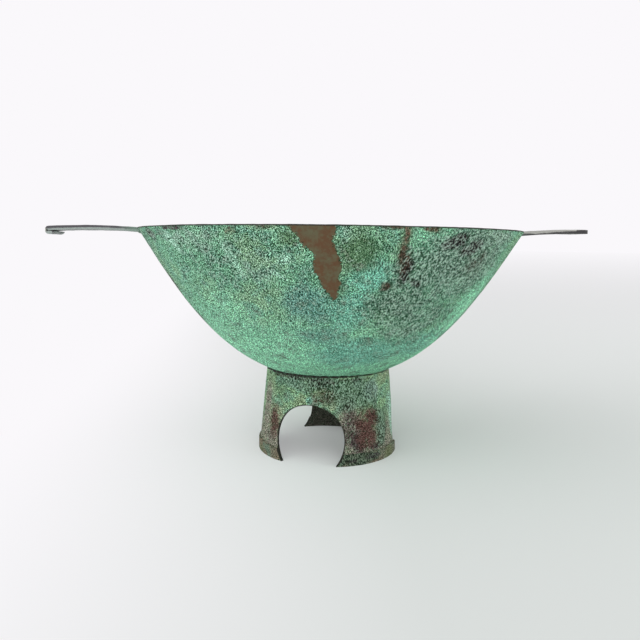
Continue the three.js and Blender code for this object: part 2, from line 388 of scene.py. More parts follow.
class PatinaMap:
    """Where each tone lies on a round wall, kept as one vertex attribute per tone."""

    fade_reach: float = 1.4  # half widths from its middle at which a patch has faded out
    climb_steps: int = 2000

    def __init__(self, piece: Piece, radius_at: Callable[[Any], Any]) -> None:
        """Reads the wall's places and the way that they face.

        Args:
            piece: piece with a round wall about the vertical axis.
            radius_at: outside radius of the wall at a height.
        """
        self.piece = piece
        count = len(piece.data.vertices)
        places, facing = np.empty(count * 3), np.empty(count * 3)
        piece.data.vertices.foreach_get("co", places)
        piece.data.vertex_normals.foreach_get("vector", facing)
        self.places = places.reshape(-1, 3) / MM
        self.facing = facing.reshape(-1, 3)
        self.azimuth = np.degrees(np.arctan2(self.places[:, 1], self.places[:, 0]))
        self.radius = np.hypot(self.places[:, 0], self.places[:, 1])
        self.height = self.places[:, 2]
        self.radius_at = radius_at
        self.values = {tone: np.zeros(count) for tone in Tone}
        self.values[Tone.BARE] -= 1.0  # this one runs from -1 to 1, across the edge of the worn place

    def stretch(self, height: float) -> float:
        """Finds how much longer the leaning wall is than it is high, about a height."""
        lean = (self.radius_at(height + 1.0) - self.radius_at(height - 1.0)) / 2.0
        return math.hypot(1.0, lean)

    def offsets(self, azimuth: float, height: float) -> tuple[np.ndarray, np.ndarray]:
        """Measures how far every vertex lies from a place, round the wall and up along it."""
        across = np.radians(shorter_turn(azimuth, self.azimuth)) * self.radius
        return across, (self.height - height) * self.stretch(height)

    def lay(self, patches: Iterable[Patch]) -> None:
        """Adds patches, each fading out round its edge.

        Args:
            patches: patches to lay on the outside, or on the inside where they say so.
        """
        inside = self.values[Tone.INSIDE]
        for patch in patches:
            across, along = self.offsets(patch.azimuth, patch.height)
            tilt = math.radians(patch.tilt)
            wide = (across * math.cos(tilt) + along * math.sin(tilt)) / patch.half_width
            tall = (along * math.cos(tilt) - across * math.sin(tilt)) / patch.half_height
            share = np.clip(self.fade_reach - np.hypot(wide, tall), 0.0, 1.0)
            laid = patch.strength * share * share * (3.0 - 2.0 * share)
            laid = laid * (inside if patch.inner else 1.0 - inside)
            self.values[patch.tone] = np.maximum(self.values[patch.tone], laid)

    def wear(self, outline: Sequence[Point], reach: float) -> None:
        """Wears the crust off inside an outline.

        Args:
            outline: azimuths and heights of the worn place's corners, in order round it.
            reach: distance from the outline at which the mask is full.
        """
        middle, centre = (sum(values) / len(outline) for values in zip(*outline))
        across, along = self.offsets(middle, centre)
        stretch = self.stretch(centre)
        corners = []
        for azimuth, height in outline:
            round_wall = math.radians(azimuth - middle) * float(self.radius_at(height))
            corners.append((round_wall, (height - centre) * stretch))
        nearest = np.full(len(across), np.inf)
        within = np.zeros(len(across), bool)
        for (x0, y0), (x1, y1) in zip(corners, corners[1:] + corners[:1]):
            run, climb = x1 - x0, y1 - y0
            share = ((across - x0) * run + (along - y0) * climb) / (run * run + climb * climb)
            share = np.clip(share, 0.0, 1.0)
            gap = np.hypot(across - x0 - share * run, along - y0 - share * climb)
            nearest = np.minimum(nearest, gap)
            level = x0 + (along - y0) * run / (climb if abs(climb) > WELD else WELD)
            within ^= ((y0 > along) != (y1 > along)) & (across < level)
        signed = np.clip(np.where(within, nearest, -nearest) / reach, -1.0, 1.0)
        signed = np.where(self.values[Tone.INSIDE] > 0.5, -1.0, signed)
        self.values[Tone.BARE] = np.maximum(self.values[Tone.BARE], signed)

    def flow(self, roll: float, slant: float) -> np.ndarray:
        """Unrolls the wall onto a cylinder, so that a pattern can run along its slope.

        Args:
            roll: radius of the cylinder, at which the pattern keeps its size.
            slant: angle by which the pattern leans over.

        Returns:
            Place of each vertex on the cylinder.
        """
        heights = np.linspace(self.height.min(), self.height.max(), self.climb_steps)
        radii = np.broadcast_to(self.radius_at(heights), heights.shape)
        steps = np.hypot(np.diff(heights), np.diff(radii))
        climb = np.interp(self.height, heights, np.concatenate([[0.0], np.cumsum(steps)]))
        turn = np.radians(self.azimuth) - math.tan(math.radians(slant)) * climb / roll
        return np.column_stack([roll * np.cos(turn), roll * np.sin(turn), climb])

    def store(self, roll: float, slant: float = 0.0) -> None:
        """Writes the tones and the way that the grains run to the mesh as vertex attributes.

        Args:
            roll: radius at which the grains keep their size.
            slant: angle by which the grains lean over.
        """
        attributes = self.piece.data.attributes
        for tone, values in self.values.items():
            layer = attributes.new(tone.value, "FLOAT", "POINT")
            layer.data.foreach_set("value", values.astype(np.float32))
        layer = attributes.new(FLOW_LAYER, "FLOAT_VECTOR", "POINT")
        places = self.flow(roll, slant) * MM
        layer.data.foreach_set("vector", places.astype(np.float32).ravel())

    def crust_group(self, name: str) -> None:
        """Makes a vertex group that is full on the crust and empty on bare metal.

        Args:
            name: name of the vertex group.
        """
        group = self.piece.vertex_groups.new(name=name)
        for index, bare in enumerate(self.values[Tone.BARE]):
            group.add([index], clamp(0.5 - 2.0 * float(bare)), "REPLACE")


@dataclass(frozen=True)
class Finish:
    """What all the finishes share: a name, and the steps that they are painted by."""

    name: str

    def material(self) -> bpy.types.Material:
        """Builds the finish.

        Returns:
            The material.
        """
        material = bpy.data.materials.new(self.name)
        tree = new_tree(material)
        self.paint(tree, add_node(tree, "ShaderNodeTexCoord").outputs["Object"])
        return material

    def paint(self, tree: Tree, place: Socket) -> None:
        """Adds the finish's own nodes, for every place on the piece."""
        raise NotImplementedError

    @staticmethod
    def clouds(
        tree: Tree, place: Socket, size: float, detail: float, seed: float, run: float = 1.0
    ) -> Socket:
        """Makes a cloudy pattern whose clouds have a real size.

        Args:
            tree: node tree of the finish.
            place: where on the piece.
            size: width of a cloud.
            detail: finer layers in it.
            seed: sets it apart from other patterns.
            run: times that it is drawn out downwards, the way that the wet patina ran.

        Returns:
            Values about one half.
        """
        drawn = add_node(tree, "ShaderNodeMapping", {"Vector": place, "Scale": (1.0, 1.0, 1.0 / run)})
        inputs = {"Vector": drawn.outputs[0], "W": seed, "Scale": 1.0 / (size * MM), "Detail": detail}
        return add_node(tree, "ShaderNodeTexNoise", inputs, noise_dimensions="4D").outputs[0]

    @staticmethod
    def blend(tree: Tree, under: str | Socket, coats: Iterable[tuple[Socket, str | Socket]]) -> Socket:
        """Lays coats of colour over each other, each where its mask is full.

        Args:
            tree: node tree of the finish.
            under: colour underneath.
            coats: mask and colour of each coat.

        Returns:
            The blended colour.
        """
        for mask, over in coats:
            inputs = {MIX_FACTOR: mask, MIX_UNDER: under, MIX_OVER: over}
            under = add_node(tree, "ShaderNodeMix", inputs, data_type="RGBA").outputs[MIX_RESULT]
        return under

    @staticmethod
    def total(tree: Tree, start: float, parts: Iterable[tuple[Socket, float | Socket]]) -> Socket:
        """Adds weighted patterns to a start value.

        Args:
            tree: node tree of the finish.
            start: value that they are added to.
            parts: patterns, each with its weight.

        Returns:
            The sum.
        """
        reached: Any = start
        for pattern, weight in parts:
            inputs = {0: pattern, 1: weight, 2: reached}
            reached = add_node(tree, "ShaderNodeMath", inputs, operation="MULTIPLY_ADD").outputs[0]
        return reached

    @classmethod
    def share(
        cls,
        tree: Tree,
        parts: Iterable[tuple[Socket, float]],
        low: float,
        high: float,
        full: float = 1.0,
    ) -> Socket:
        """Adds weighted patterns up and turns the sum into a mask.

        Args:
            tree: node tree of the finish.
            parts: patterns, each with its weight.
            low: sum at which the mask starts.
            high: sum at which it is full.
            full: value of the full mask.

        Returns:
            The mask.
        """
        total = cls.total(tree, 0.0, parts)
        inputs = {"Value": total, "From Min": low, "From Max": high, "To Max": full}
        mask = add_node(tree, "ShaderNodeMapRange", inputs, interpolation_type="SMOOTHSTEP")
        return mask.outputs["Result"]

    @staticmethod
    def surface(tree: Tree, bumps: Socket, rise: float, strength: float, skin: dict[str, Any]) -> None:
        """Ends a finish with its bumps, its shader and its output.

        Args:
            tree: node tree of the finish.
            bumps: pattern of the bumps.
            rise: height of the bumps.
            strength: share of that height that shows.
            skin: inputs of the shader.
        """
        inputs = {"Strength": strength, "Distance": rise * MM, "Height": bumps}
        bump = add_node(tree, "ShaderNodeBump", inputs)
        skin = {**skin, "Normal": bump.outputs["Normal"]}
        shader = add_node(tree, "ShaderNodeBsdfPrincipled", skin)
        add_node(tree, "ShaderNodeOutputMaterial", {"Surface": shader.outputs["BSDF"]})


class Patterns(NamedTuple):
    """Noises that the crust is painted with: clouds, clumps, grains, flecks and spun lines."""

    drift: Socket
    cloud: Socket
    clump: Socket
    grain: Socket
    fleck: Socket
    spun: Socket


Masks = dict[Tone, Socket]


@dataclass(frozen=True)
class Verdigris(Finish):
    """Verdigris crust grown on a copper alloy, and worn through in places.

    It gives the eye a matte, mealy green: dark grains and pale flecks as fine as sand, soft
    drifts between leaf green and blue-green, and dull brown metal where the crust is gone.
    """

    ground: str = "#639d7a"
    ground_warm: str = "#719d78"
    ground_cool: str = "#609c80"
    sea: str = "#68ad93"
    fresh: str = "#80caa1"
    leaf: str = "#446745"
    dull: str = "#94b09e"
    shade: str = "#89b9a0"
    steel: str = "#578e7e"
    pale: str = "#8fc4a7"
    rust: str = "#4d3e32"
    oxide: str = "#393134"
    pit: str = "#24332a"
    fleck: str = "#b4dcc2"
    fleck_grey: str = "#b0cdbb"
    metal: str = "#675641"
    metal_warm: str = "#6b503a"
    metal_film: str = "#6c7056"
    edge: str = "#34352f"
    inside: str = "#4d5a49"
    inside_stain: str = "#4a3a2c"
    inside_line: str = "#33372c"
    inside_cover: float = 0.75
    shade_cover: float = 0.6
    # Real grains and spinning lines are finer; they are drawn coarser, so that they show.
    grain_size: float = 0.4
    grain_run: float = 1.8
    grain_pull: tuple[float, float, float] = (1.12, 0.92, 1.04)
    clump_size: float = 2.4
    fleck_size: float = 0.65
    fleck_run: float = 2.2
    cloud_size: float = 9.0
    drift_size: float = 42.0
    spun_length: float = 70.0
    spun_width: float = 2.2
    # The noise makes a grain darkest at grain_low, by grain_swing, and lightest at grain_high.
    grain_low: float = 0.3
    grain_high: float = 0.6
    grain_swing: float = -2.4
    grain_light: float = 1.25
    grain_depth: float = 2.3
    dense_depth: float = 1.12
    calm_depth: float = 0.75
    oxide_depth: float = 0.8
    fleck_level: float = 0.6
    fleck_edge: float = 0.08
    fleck_depth: float = 0.75
    pit_level: float = 0.28
    pit_edge: float = 0.1
    pit_depth: float = 0.7
    relief: float = 0.3
    relief_strength: float = 0.7
    bare_sink: float = 0.7
    crust_roughness: float = 0.85
    metal_roughness: float = 0.5
    metal_share: float = 0.3
    sheen: float = 0.12

    def paint(self, tree: Tree, place: Socket) -> None:
        """Adds the finish's own nodes.

        Args:
            tree: node tree of the finish.
            place: where on the piece.
        """
        flow = add_node(tree, "ShaderNodeAttribute", attribute_name=FLOW_LAYER).outputs["Vector"]
        spun_run = self.spun_width / self.spun_length
        patterns = Patterns(
            drift=self.clouds(tree, place, self.drift_size, detail=3.0, seed=1.0),
            cloud=self.clouds(tree, place, self.cloud_size, detail=4.0, seed=2.0),
            clump=self.clouds(tree, place, self.clump_size, detail=2.0, seed=3.0),
            grain=self.clouds(tree, flow, self.grain_size, detail=1.0, seed=4.0, run=self.grain_run),
            fleck=self.clouds(tree, flow, self.fleck_size, detail=1.0, seed=5.0, run=self.fleck_run),
            spun=self.clouds(tree, flow, self.spun_length, detail=3.0, seed=6.0, run=spun_run),
        )
        masks = self.masks(tree, patterns)
        colour = self.crust(tree, patterns, masks)
        colour = self.grains(tree, colour, patterns, masks)
        colour = self.worn(tree, colour, patterns, masks)
        bare = masks[Tone.BARE]
        limits = {"To Min": self.crust_roughness, "To Max": self.metal_roughness}
        roughness = add_node(tree, "ShaderNodeMapRange", {"Value": bare, **limits})
        inputs = {0: bare, 1: self.metal_share}
        metallic = add_node(tree, "ShaderNodeMath", inputs, operation="MULTIPLY").outputs[0]
        skin = {
            "Base Color": colour,
            "Roughness": roughness.outputs["Result"],
            "Metallic": metallic,
            "Specular IOR Level": self.sheen,
        }
        inputs = {0: bare, 1: -self.bare_sink, 2: patterns.grain}
        bumps = add_node(tree, "ShaderNodeMath", inputs, operation="MULTIPLY_ADD").outputs[0]
        self.surface(tree, bumps, self.relief, self.relief_strength, skin)

    @classmethod
    def masks(cls, tree: Tree, patterns: Patterns) -> Masks:
        """Reads the patches of each tone and frays their edges, softly or grain by grain.

        Args:
            tree: node tree of the finish.
            patterns: noises, of which clouds, clumps and grains count.

        Returns:
            Mask of each tone, from 0 to 1.
        """
        found: Masks = {}
        for tone in Tone:
            soft, mealy, fine, spread = tone.fraying
            layer = add_node(tree, "ShaderNodeAttribute", attribute_name=tone.value).outputs["Fac"]
            noises = (layer, patterns.cloud, patterns.clump, patterns.grain)
            parts = list(zip(noises, (1.0, soft, mealy, fine)))
            middle = (soft + mealy + fine) / 2 + (0.0 if tone is Tone.BARE else 0.5)
            found[tone] = cls.share(tree, parts, middle - spread, middle + spread)
        return found

    def crust(self, tree: Tree, patterns: Patterns, masks: Masks) -> Socket:
        """Lays the greens and the patches over each other.

        Args:
            tree: node tree of the finish.
            patterns: noises, of which drifts and clouds count.
            masks: patches of each tone.

        Returns:
            Colour of the crust without its grains.
        """
        coats = [
            (self.share(tree, [(patterns.drift, 1.0)], 0.42, 0.6), self.ground_warm),
            (self.share(tree, [(patterns.cloud, 1.0)], 0.45, 0.62), self.ground_cool),
            (masks[Tone.FRESH], self.fresh),
            (masks[Tone.STEEL], self.steel),
            (masks[Tone.SEA], self.sea),
            (masks[Tone.LEAF], self.leaf),
            (masks[Tone.DULL], self.dull),
            (self.share(tree, [(masks[Tone.SPECKLE], 1.0)], 0.0, 1.0, self.shade_cover), self.shade),
            (masks[Tone.PALE], self.pale),
            (masks[Tone.OXIDE], self.oxide),
            (masks[Tone.RUST], self.rust),
        ]
        return self.blend(tree, self.ground, coats)

    def grains(self, tree: Tree, colour: Socket, patterns: Patterns, masks: Masks) -> Socket:
        """Gives the crust its single grains, and strews dark pits and pale flecks over it.

        Args:
            tree: node tree of the finish.
            colour: colour of the crust.
            patterns: noises, of which clumps, grains and flecks count.
            masks: patches, of which the speckled, the calm and the rusty ones count.

        Returns:
            Colour of the crust with its grains.
        """
        dense, calm, rust = masks[Tone.SPECKLE], masks[Tone.CALM], masks[Tone.RUST]
        losses = [
            (calm, -self.calm_depth),
            (rust, -self.oxide_depth),
            (masks[Tone.OXIDE], -self.oxide_depth),
        ]
        depth = self.total(tree, self.grain_depth, losses)
        inputs = {0: dense, 1: self.dense_depth}
        strokes = add_node(tree, "ShaderNodeMath", inputs, operation="MULTIPLY").outputs[0]
        limits = {"From Min": self.grain_low, "From Max": self.grain_high, "To Min": self.grain_swing}
        swings = []
        for pattern, reach in ((patterns.grain, depth), (patterns.fleck, strokes)):
            swing = add_node(tree, "ShaderNodeMapRange", {"Value": pattern, **limits, "To Max": 0.0})
            swings.append((swing.outputs["Result"], reach))
        power = self.total(tree, self.grain_light, swings)
        lights = {}
        for axis, pull in zip("XYZ", self.grain_pull):
            inputs = {0: math.exp(pull), 1: power}
            lights[axis] = add_node(tree, "ShaderNodeMath", inputs, operation="POWER").outputs[0]
        light = add_node(tree, "ShaderNodeCombineXYZ", lights).outputs[0]
        grainy = add_node(tree, "ShaderNodeVectorMath", {0: colour, 1: light}, operation="MULTIPLY")
        parts = [(patterns.clump, 0.55), (patterns.grain, -0.45), (dense, 0.16), (calm, -0.1)]
        pits = self.share(tree, parts, self.pit_level, self.pit_level + self.pit_edge, self.pit_depth)
        parts = [(patterns.fleck, 1.0), (dense, 0.1), (calm, -0.03), (rust, -0.07)]
        full = self.fleck_level + self.fleck_edge
        flecks = self.share(tree, parts, self.fleck_level, full, self.fleck_depth)
        pale = self.blend(tree, self.fleck, [(dense, self.fleck_grey)])
        return self.blend(tree, grainy.outputs["Vector"], [(pits, self.pit), (flecks, pale)])

    def worn(self, tree: Tree, colour: Socket, patterns: Patterns, masks: Masks) -> Socket:
        """Shows the metal where it is bare, the dark edges and the inside.

        Args:
            tree: node tree of the finish.
            colour: colour of the crust.
            patterns: noises, of which clouds, clumps and spun lines count.
            masks: patches, of which the bare ones, the edges and the inside count.

        Returns:
            Colour of the whole surface.
        """
        warm = self.share(tree, [(patterns.cloud, 1.0)], 0.36, 0.64)
        film = self.share(tree, [(patterns.clump, 0.6), (patterns.cloud, -0.6)], -0.12, 0.16, 0.6)
        metal = self.blend(tree, self.metal, [(warm, self.metal_warm), (film, self.metal_film)])
        lines = self.share(tree, [(patterns.spun, 1.0), (patterns.clump, 0.4)], 0.66, 0.84, 0.7)
        stain = self.blend(tree, self.inside, [(warm, self.inside_stain), (lines, self.inside_line)])
        inner = self.share(tree, [(masks[Tone.INSIDE], 1.0)], 0.0, 1.0, self.inside_cover)
        coats = [(inner, stain), (masks[Tone.BARE], metal), (masks[Tone.EDGE], self.edge)]
        return self.blend(tree, colour, coats)


@dataclass(frozen=True)
class ForgedStrap(Finish):
    """Oxidised copper-alloy bar, forged flat, with painted light and shade on its edges.

    It gives the eye a satin grey: dark oxide streaks along the bar, painted light on one half
    of each edge and painted shade on the other, a worn olive tip, and green near the rim.
    """

    # Light grey, also the painted light on the edges; then dark oxide, also painted shade on them.
    grey_and_painted_light: str = "#96a09b"
    dark: str = "#4e4c50"
    worn: str = "#a3a48c"
    green: str = "#74907f"
    streak_length: float = 24.0
    streak_width: float = 2.0
    grain_size: float = 1.0
    green_from: float = 172.0
    green_to: float = 150.0
    relief: float = 0.2
    relief_strength: float = 0.5
    low_roughness: float = 0.45
    high_roughness: float = 0.65
    metal_share: float = 0.35
    shade_layer: str = "shade"
    worn_layer: str = "worn"

    def paint(self, tree: Tree, place: Socket) -> None:
        """Adds the finish's own nodes.

        Args:
            tree: node tree of the finish.
            place: where on the piece.
        """
        along, across = 1.0 / (self.streak_length * MM), 1.0 / (self.streak_width * MM)
        drawn = add_node(tree, "ShaderNodeMapping", {"Vector": place, "Scale": (along, across, across)})
        inputs = {"Vector": drawn.outputs[0], "Scale": 1.0, "Detail": 4.0}
        streak = add_node(tree, "ShaderNodeTexNoise", inputs).outputs[0]
        grain = self.clouds(tree, place, self.grain_size, detail=2.0, seed=1.0)
        shade = add_node(tree, "ShaderNodeAttribute", attribute_name=self.shade_layer).outputs["Fac"]
        worn = add_node(tree, "ShaderNodeAttribute", attribute_name=self.worn_layer).outputs["Fac"]
        apart = add_node(tree, "ShaderNodeSeparateXYZ", {"Vector": place})
        reach = add_node(tree, "ShaderNodeMath", {0: apart.outputs["X"]}, operation="ABSOLUTE")
        limits = {"From Min": self.green_from * MM, "From Max": self.green_to * MM}
        inputs = {"Value": reach.outputs[0], **limits}
        near = add_node(tree, "ShaderNodeMapRange", inputs).outputs["Result"]
        coats = [
            # Dark oxide streaks, and painted shade where the shade layer is high.
            (self.share(tree, [(shade, 1.0), (streak, 1.6), (grain, 0.5)], 1.2, 1.9), self.dark),
            (self.share(tree, [(near, 1.0), (grain, 1.2)], 0.8, 1.9, 0.9), self.green),
            (self.share(tree, [(worn, 1.0), (grain, 0.8)], 0.9, 1.6), self.worn),
        ]
        limits = {"To Min": self.low_roughness, "To Max": self.high_roughness}
        inputs = {"Value": grain, "From Min": 0.3, "From Max": 0.7, **limits}
        roughness = add_node(tree, "ShaderNodeMapRange", inputs)
        skin = {
            "Base Color": self.blend(tree, self.grey_and_painted_light, coats),
            "Roughness": roughness.outputs["Result"],
            "Metallic": self.metal_share,
        }
        self.surface(tree, grain, self.relief, self.relief_strength, skin)


@dataclass(frozen=True)
class BrazeCrust(Finish):
    """Filler metal left as it froze, under scale.

    It gives the eye a dark, lumpy bead with green in its pits.
    """

    scale: str
    brown: str
    green: str
    lump_size: float = 2.4
    relief: float = 0.4
    relief_strength: float = 0.8
    roughness: float = 0.8
    metal_share: float = 0.1

    def paint(self, tree: Tree, place: Socket) -> None:
        """Adds the finish's own nodes.

        Args:
            tree: node tree of the finish.
            place: where on the piece.
        """
        inputs = {"Vector": place, "Scale": 1.0 / (self.lump_size * MM), "Detail": 4.0}
        lumps = add_node(tree, "ShaderNodeTexNoise", inputs).outputs[0]
        coats = []
        for colour, start, full in ((self.brown, 0.45, 0.6), (self.green, 0.5, 0.38)):
            inputs = {"Value": lumps, "From Min": start, "From Max": full}
            coats.append((add_node(tree, "ShaderNodeMapRange", inputs).outputs["Result"], colour))
        skin = {
            "Base Color": self.blend(tree, self.scale, coats),
            "Roughness": self.roughness,
            "Metallic": self.metal_share,
        }
        self.surface(tree, lumps, self.relief, self.relief_strength, skin)


@dataclass(frozen=True)
class PaperFloor(Finish):
    """Matte paper of the studio floor.

    It gives the eye a pale grey that burns out to white towards the light and far behind. Its
    distances are in metres.
    """

    colour: str = "#e6eae8"
    white: str = "#faf8fb"
    roughness: float = 0.9
    glow_way: tuple[float, float, float] = (-1.0, 0.04, 0.0)
    glow_from: float = -0.1
    glow_to: float = 0.28
    haze_depth: float = 1.65
    haze_near: float = 0.5

    def paint(self, tree: Tree, place: Socket) -> None:
        """Adds the finish's own nodes.

        Args:
            tree: node tree of the finish.
            place: where on the floor.
        """
        # Painted light: towards glow_way the paper is mixed into a white glow, as if over-lit.
        inputs = {0: place, 1: self.glow_way}
        aside = add_node(tree, "ShaderNodeVectorMath", inputs, operation="DOT_PRODUCT")
        glare = self.share(tree, [(aside.outputs["Value"], 1.0)], self.glow_from, self.glow_to)
        reach = add_node(tree, "ShaderNodeVectorMath", {0: place}, operation="LENGTH")
        inputs = {0: reach.outputs["Value"], 1: self.haze_near}
        past = add_node(tree, "ShaderNodeMath", inputs, operation="ADD").outputs[0]
        inputs = {0: -self.haze_depth, 1: past}
        thin = add_node(tree, "ShaderNodeMath", inputs, operation="DIVIDE").outputs[0]
        haze = add_node(tree, "ShaderNodeMath", {0: thin}, operation="EXPONENT").outputs[0]
        fade = add_node(tree, "ShaderNodeMath", {0: glare, 1: haze}, operation="MAXIMUM").outputs[0]
        inputs = {"Color": self.colour, "Roughness": self.roughness}
        paper = add_node(tree, "ShaderNodeBsdfDiffuse", inputs).outputs[0]
        glow = add_node(tree, "ShaderNodeEmission", {"Color": self.white}).outputs[0]
        mix = add_node(tree, "ShaderNodeMixShader", {0: fade, 1: paper, 2: glow})
        add_node(tree, "ShaderNodeOutputMaterial", {"Surface": mix.outputs[0]})


@dataclass
class Bowl:
    """Spun bowl, open at its rim, with the curve of its wall."""

    rim_radius: float
    stand: float
    rim_height: float
    wall: float = 1.5
    flank_lean: float = 31.5
    flank_reach: float = 64.0
    belly_reach: float = 80.5
    curve_steps: int = 400
    outside_steps: int = 140
    inside_steps: int = 40
    lip_round: float = 0.35
    lip_steps: int = 3
    round_steps: int = 440
    edge_depth: float = 1.6
    belt_top: float = 135.0
    belt_fade: float = 50.0
    brush_radius: float = 110.0
    brush_slant: float = 14.0
    worn_reach: float = 6.0
    inside_above: float = 0.1  # upward share of its facing above which a vertex is on the inside
    # Strewn patches lie this far above the underside and below the rim, in these sizes and tilts.
    strewn_above: float = 15.0
    strewn_below: float = 4.0
    strewn_sizes: tuple[float, float] = (0.6, 1.3)
    strewn_tilts: tuple[float, float] = (-30.0, 30.0)
    back: tuple[float, float] = (-25.0, 195.0)
    seed: int = 7
    finish: Verdigris = Verdigris("verdigris_on_spun_sheet", inside_cover=0.55)

    @classmethod
    def from_frame(cls) -> "Bowl":
        """Takes the bowl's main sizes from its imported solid."""
        low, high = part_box("bowl")
        return cls(rim_radius=high.x / MM, stand=low.z / MM, rim_height=high.z / MM)

    def wall_point(self, share: float, offset: float = 0.0) -> Point:
        """Finds a point of the wall.

        Args:
            share: share of the curve, from the middle of the underside to the rim.
            offset: distance by which it is set off outwards.

        Returns:
            Radius and height.
        """
        lean = math.radians(self.flank_lean)
        middle, belly = (0.0, self.stand), (self.belly_reach, self.stand)
        back, down = self.flank_reach * math.sin(lean), self.flank_reach * math.cos(lean)
        rim = (self.rim_radius, self.rim_height)
        pulls = [Vector(pull) for pull in (middle, belly, (rim[0] - back, rim[1] - down), rim)]
        rest = 1.0 - share
        place = (
            pulls[0] * rest**3
            + pulls[1] * 3 * rest**2 * share
            + pulls[2] * 3 * rest * share**2
            + pulls[3] * share**3
        )
        along = (
            (pulls[1] - pulls[0]) * rest**2
            + (pulls[2] - pulls[1]) * 2 * rest * share
            + (pulls[3] - pulls[2]) * share**2
        ).normalized()
        radius = 0.0 if share == 0.0 else place.x + along.y * offset
        return radius, place.y - along.x * offset

    @cached_property
    def curve(self) -> np.ndarray:
        """Radii and heights along the outside of the wall."""
        return np.array([self.wall_point(i / self.curve_steps) for i in range(self.curve_steps + 1)])

    def radius_at(self, height: Any) -> Any:
        """Finds the outside radius at a height, or at many heights."""
        return np.interp(height, self.curve[:, 1], self.curve[:, 0])

    def underside_at(self, radius: float) -> float:
        """Finds the height of the underside at a radius."""
        return float(np.interp(radius, self.curve[:, 0], self.curve[:, 1]))

    def section(self) -> list[Point]:
        """Draws the wall's section, from the middle of the underside round to the inside.

        Returns:
            Distance from the axis and height of each point.
        """
        outside = [self.wall_point(i / self.outside_steps) for i in range(self.outside_steps)]
        inside = [self.wall_point(i / self.inside_steps, -self.wall) for i in range(self.inside_steps)]
        lean = math.radians(self.flank_lean)
        inner_edge = self.rim_radius - self.wall / math.cos(lean)
        lip: list[Point] = []
        for side, edge, start in ((1, self.rim_radius, -lean), (-1, inner_edge, QUARTER)):
            sweep = QUARTER + lean * side
            centre = edge - side * self.lip_round * math.tan(sweep / 2)
            level = self.rim_height - self.lip_round
            lip += arc(centre, level, self.lip_round, start, sweep, self.lip_steps)
        return [*outside, *lip, *reversed(inside)]

    def patches(self) -> list[Patch]:
        """Lists the patches of the front one by one, and strews the rest at random.

        Returns:
            The patches.
        """
        front = {
            Tone.SEA: [
                (272.5, 148, 14, 15),
                (268.0, 125, 14, 22, 0.8, -12),
                (275.0, 92, 34, 20),
                (305.0, 96, 30, 20, 0.7),
            ],
            Tone.FRESH: [
                (222.0, 118, 26, 26, 0.6),
                # This one lightens the wall near the right edge: fresher crust, and partly painted rim
                # light.
                (318.0, 120, 18, 50, 0.9),
                (283.5, 169, 12, 10, 0.55),
                (304.0, 138, 11, 9, 0.5),
            ],
            Tone.LEAF: [
                (268.5, 162, 16, 17, 0.9),
                (252.0, 170, 7, 6, 0.8),
                (283.0, 128, 18, 14, 0.6),
                (263.5, 138, 8, 8, 0.6),
                (291.5, 157, 9, 8, 0.5),
            ],
            Tone.STEEL: [
                (255.0, 128, 20, 18, 0.8),
                (258.0, 106, 18, 12, 0.6),
            ],
            Tone.DULL: [
                (224.0, 168, 34, 9, 0.35),
                (241.0, 152, 18, 12, 0.3),
                (300.0, 158, 34, 18, 0.5),
                (308.0, 172, 30, 6, 0.75),
            ],
            Tone.PALE: [
                (249.5, 157, 6, 4, 0.75),
                (247.5, 147, 8, 1.6, 1.0, -35),
                (235.0, 157, 3.0, 17, 0.85, 20),
                (215.0, 166, 3.5, 11, 0.7, 25),
                (266.0, 172, 6, 6, 0.4),
                (317.0, 155, 5, 22, 0.5),
            ],
            Tone.OXIDE: [
                (294.0, 169, 11, 6, 1.0, 20),
                (301.0, 165, 11, 6, 0.9, 20),
                (282.0, 151, 5.0, 13, 0.75),
                (286.0, 143, 7, 3, 0.65, -30),
                # This and the speckle at 204 darken the wall just under the left strap's root.
                (204.0, 173, 10, 5, 0.55),
                (218.0, 176, 16, 2, 0.7),
            ],
            Tone.RUST: [
                (279.4, 167, 3.4, 17, 0.9),
                (281.2, 155, 4.0, 10, 0.6),
                (277.2, 140.5, 4.5, 4, 0.8),
                (285.5, 176, 7, 2.6),
                (306.0, 155, 13, 12, 0.45),
                (237.0, 174, 5, 3.5, 0.6),
                (246.0, 176.5, 10, 2, 0.55),
                (276.5, 177, 10, 2, 0.7),
            ],
            Tone.SPECKLE: [
                (300.0, 154, 56, 30),
                (284.0, 130, 26, 22, 0.8),
                (292.0, 116, 36, 22, 0.7),
                (232.0, 156, 46, 24, 0.35),
                (204.0, 172, 9, 6, 0.8),
            ],
            Tone.CALM: [
                (268.0, 161, 12, 11, 0.8),
                (272.5, 147, 14, 14, 0.55),
                # These two calm the wall near the right and left edges: fewer grains, and partly
                # painted rim light.
                (323.0, 125, 10, 70),
                (207.0, 130, 8, 60, 0.7),
            ],
        }
        drifts = {
            Tone.SEA: (20, 12, 9),
            Tone.LEAF: (10, 9, 5),
            Tone.STEEL: (16, 12, 4),
            Tone.DULL: (22, 10, 6),
            Tone.PALE: (7, 4, 6),
            Tone.SPECKLE: (36, 24, 5),
        }
        stains = {Tone.OXIDE: (17, 13, 4), Tone.RUST: (15, 18, 6)}
        lining = {
            Tone.SEA: (34, 22, 7),
            Tone.LEAF: (26, 18, 6),
            Tone.DULL: (32, 20, 8),
            Tone.PALE: (16, 9, 9),
            Tone.OXIDE: (24, 15, 4),
            Tone.RUST: (30, 18, 7),
            Tone.SPECKLE: (50, 36, 6),
        }
        draw = random.Random(self.seed)
        return [
            *Patch.listed(front),
            *self.strewn(draw, self.back, drifts, (0.6, 1.0)),
            *self.strewn(draw, self.back, stains, (0.4, 0.6)),
            *self.strewn(draw, (0.0, FULL_TURN), lining, (0.35, 0.6), inner=True),
        ]

